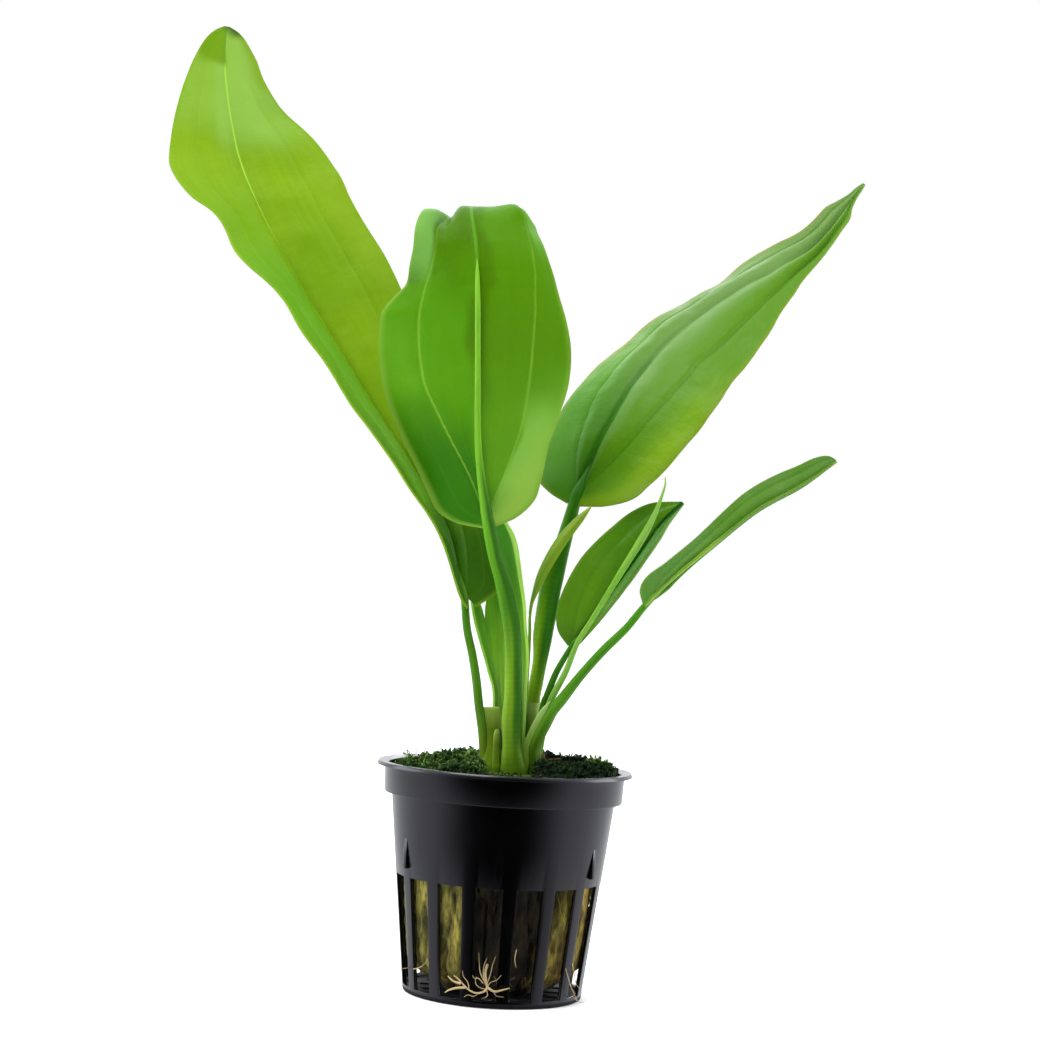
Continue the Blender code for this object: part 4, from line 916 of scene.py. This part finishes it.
grow_leaf(
    "withered_leaf", "leaf_withered",
    ((3.2, 1.7, 48), (3.5, 1.5, 62), (3.6, 1.4, 76), (3.4, 1.5, 80.5), (3.6, 1.6, 83.7), (4.4, 1.7, 86.7),
     (5.4, 1.8, 89.8), (6.7, 1.9, 92.8), (8.5, 1.8, 96.3), (10.6, 1.6, 99.6), (13.1, 1.2, 102.8),
     (15.2, 0.8, 105.4)),
    ((0, 0.6, 0.5), (0.5, 0.35, 0.35), (0.58, 0.35, 0.3), (0.62, 0.6, 0.3), (0.67, 1, 0.3),
     (0.73, 1.25, 0.3), (0.8, 1.4, 0.3), (0.87, 1.3, 0.3), (0.94, 0.95, 0.3), (1, 0.15, 0.15)),
    ((-1, -0.3, -0.95, 0.1), (0, -0.4, -0.9, 0.2)), straw_tissue)
sheath_tissue = stalk_tissue(
    "old_sheath_tissue", "#2E4E12", "#6A8A18", "#668418", "#587414", "#7C963A", "#94AE58", ring=0.05,
    gloss=0.5)
grow_leaf(
    "sheath_stub_left", "sheath_stub", ((-2.8, -1.6, 48), (-3.3, -0.8, 54), (-3.8, -0.2, 61)),
    ((0, 2.3, 1.1), (0.4, 2.15, 0.8), (0.93, 2.05, 0.4), (0.98, 1.9, 0.3), (1, 1.5, 0.15)),
    ((-1, 0.2, -1, 0), (0, 0.2, -1, 0)), sheath_tissue)
grow_leaf(
    "sheath_stub_front", "sheath_small",
    ((-1.9, -3.9, 48), (-2, -3.9, 52), (-2.2, -3.8, 56.5)),
    ((0, 0.95, 0.5), (0.6, 0.85, 0.45), (0.9, 0.65, 0.35), (1, 0.35, 0.2)),
    ((-1, 0.1, -1, 0), (0, 0.1, -1, 0)), sheath_tissue)


# Crown
# The short rootstock under the moss that the leaves grow from; only its top shows between the stalks.

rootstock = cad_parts["crown"]
rootstock.data.materials.clear()
rootstock.data.materials.append(speckled("rootstock_rind", 400, 4, "#2E3E10", "#56681E", 0.6, (0.5, 0.0003)))


# Moss
# Dark green cushion moss packed round the foot of the plant, a little above the lip: a lumpy bed
# under thousands of short leafy shoots, with a few bright new ones. Painted shade makes the bed near
# black and darkens the shoots at their base, low in each clump and on the right beside the stalks.

# painted shade: the bed near black, as the shade deep between the shoots
moss_bed = speckled("moss_bed_painted_shade", 700, 4, "#0A1606", "#1E3A12", 0.9, (0.8, 0.0006))
moss_leaf, tree, shader = new_material("moss_shoot")
# the shade attribute paints light and shade: near black low in the cushion, pale where shoots are lit
shade_value = node(tree, "Attribute", attribute_name="shade")
shoot_tone = node(tree, "ValToRGB", shade_value["Fac"],
                  stops=((0.0, "#030A04"), (0.5, "#2C4E18"), (1.0, "#94B85C")))
node(tree, shader, Base_Color=shoot_tone["Color"], Roughness=0.75, Specular_IOR_Level=0.15)

HOLE_CENTRE = Vector((1.6, -0.4))
HOLE_RADIUS = 7.6
MOSS_TOP = 49.6
BED_RADIUS = 24.2
MOSS_REACH = 24.4
CLUMP_COUNT = 235
RIM_CLUMP_COUNT = 44
GOLDEN_ANGLE = 2.39996


def moss_height(x, y):
    reach = math.hypot(x, y)
    height = MOSS_TOP - 0.6 * (reach / 20) ** 2
    height += 1.5 * noise.noise(Vector((x * 0.13, y * 0.13, 3.0)))
    height += 0.9 * noise.noise(Vector((x * 0.33, y * 0.33, 8.0)))
    if reach > 21.5:
        height -= (reach - 21.5) ** 2 * 0.3
    # lower on the left
    height -= 1.2 * (1 - soft_step(x, -14.5, -9.5))
    # a dip in front of the stalks, which stand bare there down to the crown
    beside = soft_step(x, -6.8, -5.2) * (1 - soft_step(x, 6.8, 8.6)) * (1 - soft_step(y, -5.0, -2.0))
    return height - beside * (2.4 + 2.6 * soft_step(y, -22.0, -7.0))


bm = bmesh.new()
bmesh.ops.create_circle(bm, cap_ends=False, segments=96, radius=0.5)
rim_edges = bm.edges[:]
for ring_radius in (0.6, 0.7, 0.8, 0.9, 1.0, 1.1, 1.2, 1.3):
    grown = bmesh.ops.extrude_edge_only(bm, edges=rim_edges)["geom"]
    ring_verts = [g for g in grown if isinstance(g, bmesh.types.BMVert)]
    rim_edges = [g for g in grown if isinstance(g, bmesh.types.BMEdge)]
    for vert in ring_verts:
        vert.co = vert.co.normalized() * ring_radius
for vert in bm.verts:
    share = (vert.co.length - 0.5) / 0.8
    heading = vert.co.normalized()
    inner = Vector((HOLE_CENTRE.x + heading.x * HOLE_RADIUS, HOLE_CENTRE.y + heading.y * HOLE_RADIUS))
    outer = Vector((heading.x * BED_RADIUS, heading.y * BED_RADIUS))
    spot = inner.lerp(outer, share)
    vert.co = Vector((spot.x, spot.y, moss_height(spot.x, spot.y) - 0.4)) * MM
bmesh.ops.solidify(bm, geom=bm.faces[:], thickness=-0.003)
bmesh.ops.recalc_face_normals(bm, faces=bm.faces)
bed = finished("moss_bed", bm, moss_bed, smooth_below=80.0)
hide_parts("moss")

# one strand: a curled stem with small leaflets on both sides
LEAFLETS = 13
strand = bmesh.new()
for k in range(LEAFLETS):
    leaflet = bmesh.ops.create_grid(strand, x_segments=1, y_segments=1, size=0.5)["verts"]
    bmesh.ops.rotate(strand, verts=leaflet, cent=(0, 0, 0), matrix=Matrix.Rotation(math.radians(45), 3, "Z"))
    share = k / (LEAFLETS - 1)
    side = 1 if k % 2 else -1
    long = 0.62 * (1.1 - 0.5 * share)
    for vert in leaflet:
        vert.co = Vector(((vert.co.x * 1.4142 + 1) * 0.5 * long, vert.co.y * 0.3,
                          0.3 * (vert.co.x + 0.7) ** 2 * long))
    bmesh.ops.rotate(strand, verts=leaflet, cent=(0, 0, 0),
                     matrix=Matrix.Rotation(side * math.radians(62 - 50 * share), 3, "Z"))
    bmesh.ops.rotate(strand, verts=leaflet, cent=(0, 0, 0), matrix=Matrix.Rotation(-1.2 * share, 3, "Y"))
    bend = 2.2 * share
    bmesh.ops.translate(strand, verts=leaflet,
                        vec=(1.5 * math.sin(bend), 0.5 * share * share, 0.6 * (1 - math.cos(bend))))
strand_points = np.array([v.co[:] for v in strand.verts])
strand_faces = [[v.index for v in f.verts] for f in strand.faces]
strand.free()
# painted shade: each shoot darker towards its base
strand_shade = 0.4 + 0.6 * np.repeat(np.arange(LEAFLETS), 4) / LEAFLETS

dice = random.Random(4)
clumps = []
for k in range(CLUMP_COUNT):
    turn = k * GOLDEN_ANGLE + dice.uniform(-0.06, 0.06)
    reach = math.sqrt((k + 0.5) / CLUMP_COUNT) * 22.8 + dice.uniform(-0.6, 0.6)
    x, y = reach * math.cos(turn), reach * math.sin(turn)
    radius = dice.uniform(1.4, 2.7)
    if (Vector((x, y)) - HOLE_CENTRE).length > HOLE_RADIUS + 0.5 * radius and x > -21.2:
        # painted shade: clumps on the right, beside the stalks, darker, here and on the rim below
        light = dice.uniform(-0.1, 0.24) - 0.5 * soft_step(x, 2.0, 8.0)
        clumps.append((x, y, radius, dice.uniform(0.35, 0.8) * radius, 30, light))
for k in range(RIM_CLUMP_COUNT):
    turn = math.tau * k / RIM_CLUMP_COUNT + dice.uniform(-0.06, 0.06)
    x, y = 22.2 * math.sin(turn), -22.2 * math.cos(turn)
    if x > -21.0:
        clumps.append((x, y, dice.uniform(1.3, 2.2), 1.0, 18, -0.1 - 0.3 * soft_step(x, 2.0, 8.0)))
clumps.append((19.6, -3.5, 2.4, 2.4, 60, 0.3))
clumps.append((-20.4, -3.0, 0.5, 3.4, 12, 0.6))
points, faces, shades = [], [], []
for x, y, radius, tall, count, light in clumps:
    ground = moss_height(x, y) - 0.9
    for k in range(count):
        turn = dice.uniform(0, math.tau)
        reach = math.sqrt(dice.uniform(0.0, 0.75))
        outward = np.array([math.cos(turn), math.sin(turn), -0.9 * reach])
        outward /= np.linalg.norm(outward)
        upward = np.array([math.cos(turn) * reach, math.sin(turn) * reach, 1.0 - 0.6 * reach])
        sideways = np.cross(upward, outward)
        sideways /= np.linalg.norm(sideways)
        upward = np.cross(outward, sideways)
        frame_of = np.array(Matrix((outward, sideways, upward)).transposed())
        turns = [Matrix.Rotation(dice.gauss(lean, spread), 3, axis)
                 for lean, spread, axis in ((0, 0.9, "Z"), (0, 0.5, "X"), (-0.1, 0.35, "Y"))]
        spin = np.array(turns[0] @ turns[1] @ turns[2])
        start_at = np.array([x + radius * reach * math.cos(turn), y + radius * reach * math.sin(turn),
                             ground + tall * math.sqrt(1 - reach * reach)])
        placed = strand_points @ (frame_of @ spin).T * dice.uniform(0.55, 1.0) + start_at
        radial = np.hypot(placed[:, 0], placed[:, 1])
        held = np.where(radial > MOSS_REACH, MOSS_REACH / radial, 1.0)
        placed[:, 0] *= held
        placed[:, 1] *= held
        start = len(points) * len(strand_points)
        points.append(placed)
        faces.extend([[i + start for i in f] for f in strand_faces])
        # painted shade lower on each clump's side; a few shoots brighter as new growth
        depth = 0.3 + 0.7 * math.sqrt(1 - reach * reach)
        shades.append((0.55 + light + 0.35 * dice.random() ** 3) * strand_shade * depth)
mesh = bpy.data.meshes.new("moss_shoots")
mesh.from_pydata((np.concatenate(points) * MM).tolist(), [], faces)
shade_layer = mesh.attributes.new("shade", "FLOAT", "POINT")
shade_layer.data.foreach_set("value", np.clip(np.concatenate(shades), 0, 1).astype(np.float32))
mesh.materials.append(moss_leaf)
shoots = bpy.data.objects.new("moss_shoots", mesh)
bpy.context.scene.collection.objects.link(shoots)
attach(shoots, "root")


# Roots
# Cream roots that grow out through the front slots and lie against the pot's foot, finer hairs among
# them, and one long hair root that has come out on the left.

root_skin = speckled("root_skin", 500, 3, "#6E5426", "#D2BE8E", 0.55)
front_roots = strand_mesh(
    "front_roots",
    [((-1.2, -17.6, 8.8), (-1.5, -18.9, 7.4), (-1.2, -19.9, 5.6), (-1, -20.3, 4.4), (-2.4, -20.4, 3.4),
      (-3.9, -20.3, 3.5), (-5.6, -20, 4.6), (-7.2, -19.4, 6), (-8, -19, 6.4)),
     ((-0.9, -20.2, 4.6), (0.6, -20.5, 3.9), (2.2, -20.5, 4.3), (3.7, -20.2, 4.7)),
     ((-6.4, -19.8, 5), (-7.9, -19.5, 5.3), (-9.2, -18.9, 6.2)),
     ((-5.4, -20, 4.3), (-7.4, -19.8, 4), (-8.8, -19.3, 3.4), (-9.6, -18.9, 2.8))],
    0.3, root_skin, taper=0.35, sides=2)
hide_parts("root_front", "root_side")
strand_mesh(
    "fine_roots",
    [((-1.3, -20.1, 5), (-1.9, -20.1, 7), (-1.8, -19.6, 9.2), (-1.3, -19, 10.4)),
     ((-1.2, -20.2, 5.2), (-2.5, -20, 7.4), (-2.9, -19.5, 9.6), (-3.1, -18.9, 11.4)),
     ((-1.1, -20.2, 5), (-0.4, -20.1, 7.4), (-0.1, -19.7, 9.2), (0.4, -19.2, 10.8)),
     ((-1.8, -20.3, 5.4), (-3, -20.2, 6.4), (-3.6, -19.8, 6.2), (-4.3, -19.4, 7)),
     ((-2.6, -20.3, 3.4), (-3.6, -20.2, 2.6), (-4.8, -20, 2.8), (-5.6, -19.7, 2.2)),
     ((0.4, -20.4, 4), (1, -20.2, 3), (2.6, -20, 2.8)),
     ((-1, -20.3, 4.2), (-0.4, -20.4, 5.6), (0.9, -20.3, 6.2), (1.8, -19.9, 7.2)),
     ((-1.2, -20.4, 4.2), (-2.6, -20.5, 4.6), (-3.4, -20.3, 5.4), (-3.3, -20, 6.6)),
     ((-1, -20.4, 4), (-0.8, -20.3, 2.9), (-2, -20, 2.2)),
     ((-4.6, -20.2, 3.8), (-5, -20.2, 5.4), (-6, -19.9, 6.6), (-6.2, -19.6, 7.6)),
     ((-16.6, -11.8, 6), (-15.4, -13.4, 6.6), (-14.2, -14.8, 7.8), (-13.6, -15.4, 9)),
     ((15, -13.2, 8.6), (15.9, -12.6, 6), (16.6, -12.2, 4.2), (17.6, -11.6, 2.8)),
     ((16.4, -11.6, 9.4), (17.2, -11, 6.6), (17.6, -10.8, 4.8), (18.6, -10.4, 3.6)),
     ((16.2, -12.4, 5), (17.4, -12, 2.6), (18.2, -11.4, 1.2)),
     ((4.6, -19.9, 12.6), (4.4, -20.1, 10.4), (4.8, -20.3, 9)),
     ((17.2, -11, 2), (18.6, -10.8, 1), (19.6, -10.4, 0.9))],
    0.11, root_skin, taper=0.35, sides=1)
strand_mesh(
    "hair_root",
    [((-17.6, -8, 5.6), (-19, -8.6, 5.4), (-21.3, -9, 5.6), (-23.4, -9, 4.9), (-24.4, -8.8, 3.4),
      (-24.9, -8.6, 1.2))],
    0.07, root_skin, taper=0.6, sides=1)


# Loose bits at the foot of the stalks
# A pale skin left on one stalk, a torn sheath edge, the collar of the right leaf's sheath, and a dead
# brown bract and a dry fibre on the moss.

husk_tissue = stalk_tissue("brown_bract", "#4E2C14", "#5E3A1C", "#7A5430", gloss=0.6)
torn_tissue = stalk_tissue("torn_sheath_edge", "#24380A", "#1C2E08", "#2C3E0C", gloss=0.7)
skin_tissue = stalk_tissue("pale_skin", "#3E5E18", "#62841E", "#6C902A", "#76983A", "#94B468", gloss=0.5)


def loose_piece(name, line, girth, mat):
    """A small flattened strip along a line, with its broad side to the front."""
    facing = ((0.0, 0.0, -1.0, 0.1), (1.0, 0.0, -1.0, 0.1))
    steps, length = growth_line(line, 41)
    bm = bmesh.new()
    strip = bmesh.ops.create_grid(bm, x_segments=10, y_segments=20, size=0.5)["verts"]
    where = {}
    for vert in strip:
        turn, share = vert.co.x + 0.5, vert.co.y + 0.5
        place, along, across, up = on_line(steps, share, facing, share)
        wide, deep = smooth_row(girth, share)
        angle = math.tau * turn
        vert.co = (place + across * wide * math.cos(angle) + up * deep * math.sin(angle)) * MM
        where[vert] = (turn, share, turn * 3.0, share * length)
    lay_maps(bm, where)
    bmesh.ops.remove_doubles(bm, verts=strip, dist=0.000002)
    bmesh.ops.holes_fill(bm, edges=[e for e in bm.edges if e.is_boundary], sides=0)
    bmesh.ops.recalc_face_normals(bm, faces=bm.faces)
    piece = finished(name, bm, mat, smooth_below=70.0)
    return piece


loose_piece(
    "dead_bract", ((7.4, -3.4, 49.2), (7.9, -3.6, 50.6), (8, -3.4, 52.4)),
    ((0, 0.35, 0.2), (0.5, 0.5, 0.2), (1, 0.1, 0.1)), husk_tissue)
loose_piece(
    "dry_fibre", ((8.2, -3.8, 50.6), (10.2, -4.2, 50.9), (11.9, -4, 51.1)),
    ((0, 0.08, 0.08), (0.6, 0.14, 0.1), (1, 0.05, 0.05)), husk_tissue)
loose_piece(
    "stalk_skin",
    ((3.6, -4.2, 45), (4.4, -4.4, 52.4), (5.4, -4.5, 55.6), (6.4, -4.6, 58.4), (7.5, -4.6, 61.2),
     (8.8, -4.5, 63.2)),
    ((0, 0.7, 0.2), (0.25, 1, 0.15), (0.5, 1.15, 0.12), (0.75, 0.95, 0.1), (0.9, 0.5, 0.08),
     (1, 0.08, 0.05)),
    skin_tissue)
loose_piece(
    "torn_tip", ((-1.6, -4.6, 56.8), (-1.15, -4.9, 55.4), (-0.95, -4.9, 53.8), (-1.1, -4.7, 52.2)),
    ((0, 0.1, 0.1), (0.35, 0.42, 0.2), (0.7, 0.34, 0.16), (1, 0.1, 0.1)), torn_tissue)
loose_piece(
    "right_leaf_sheath", ((5, 3.1, 48), (5.05, 3.1, 56), (5.1, 3.1, 62.3)),
    ((0, 2.1, 1.6), (0.6, 2, 1.5), (1, 1.85, 1.45)), sheath_tissue)

bpy.context.view_layer.update()
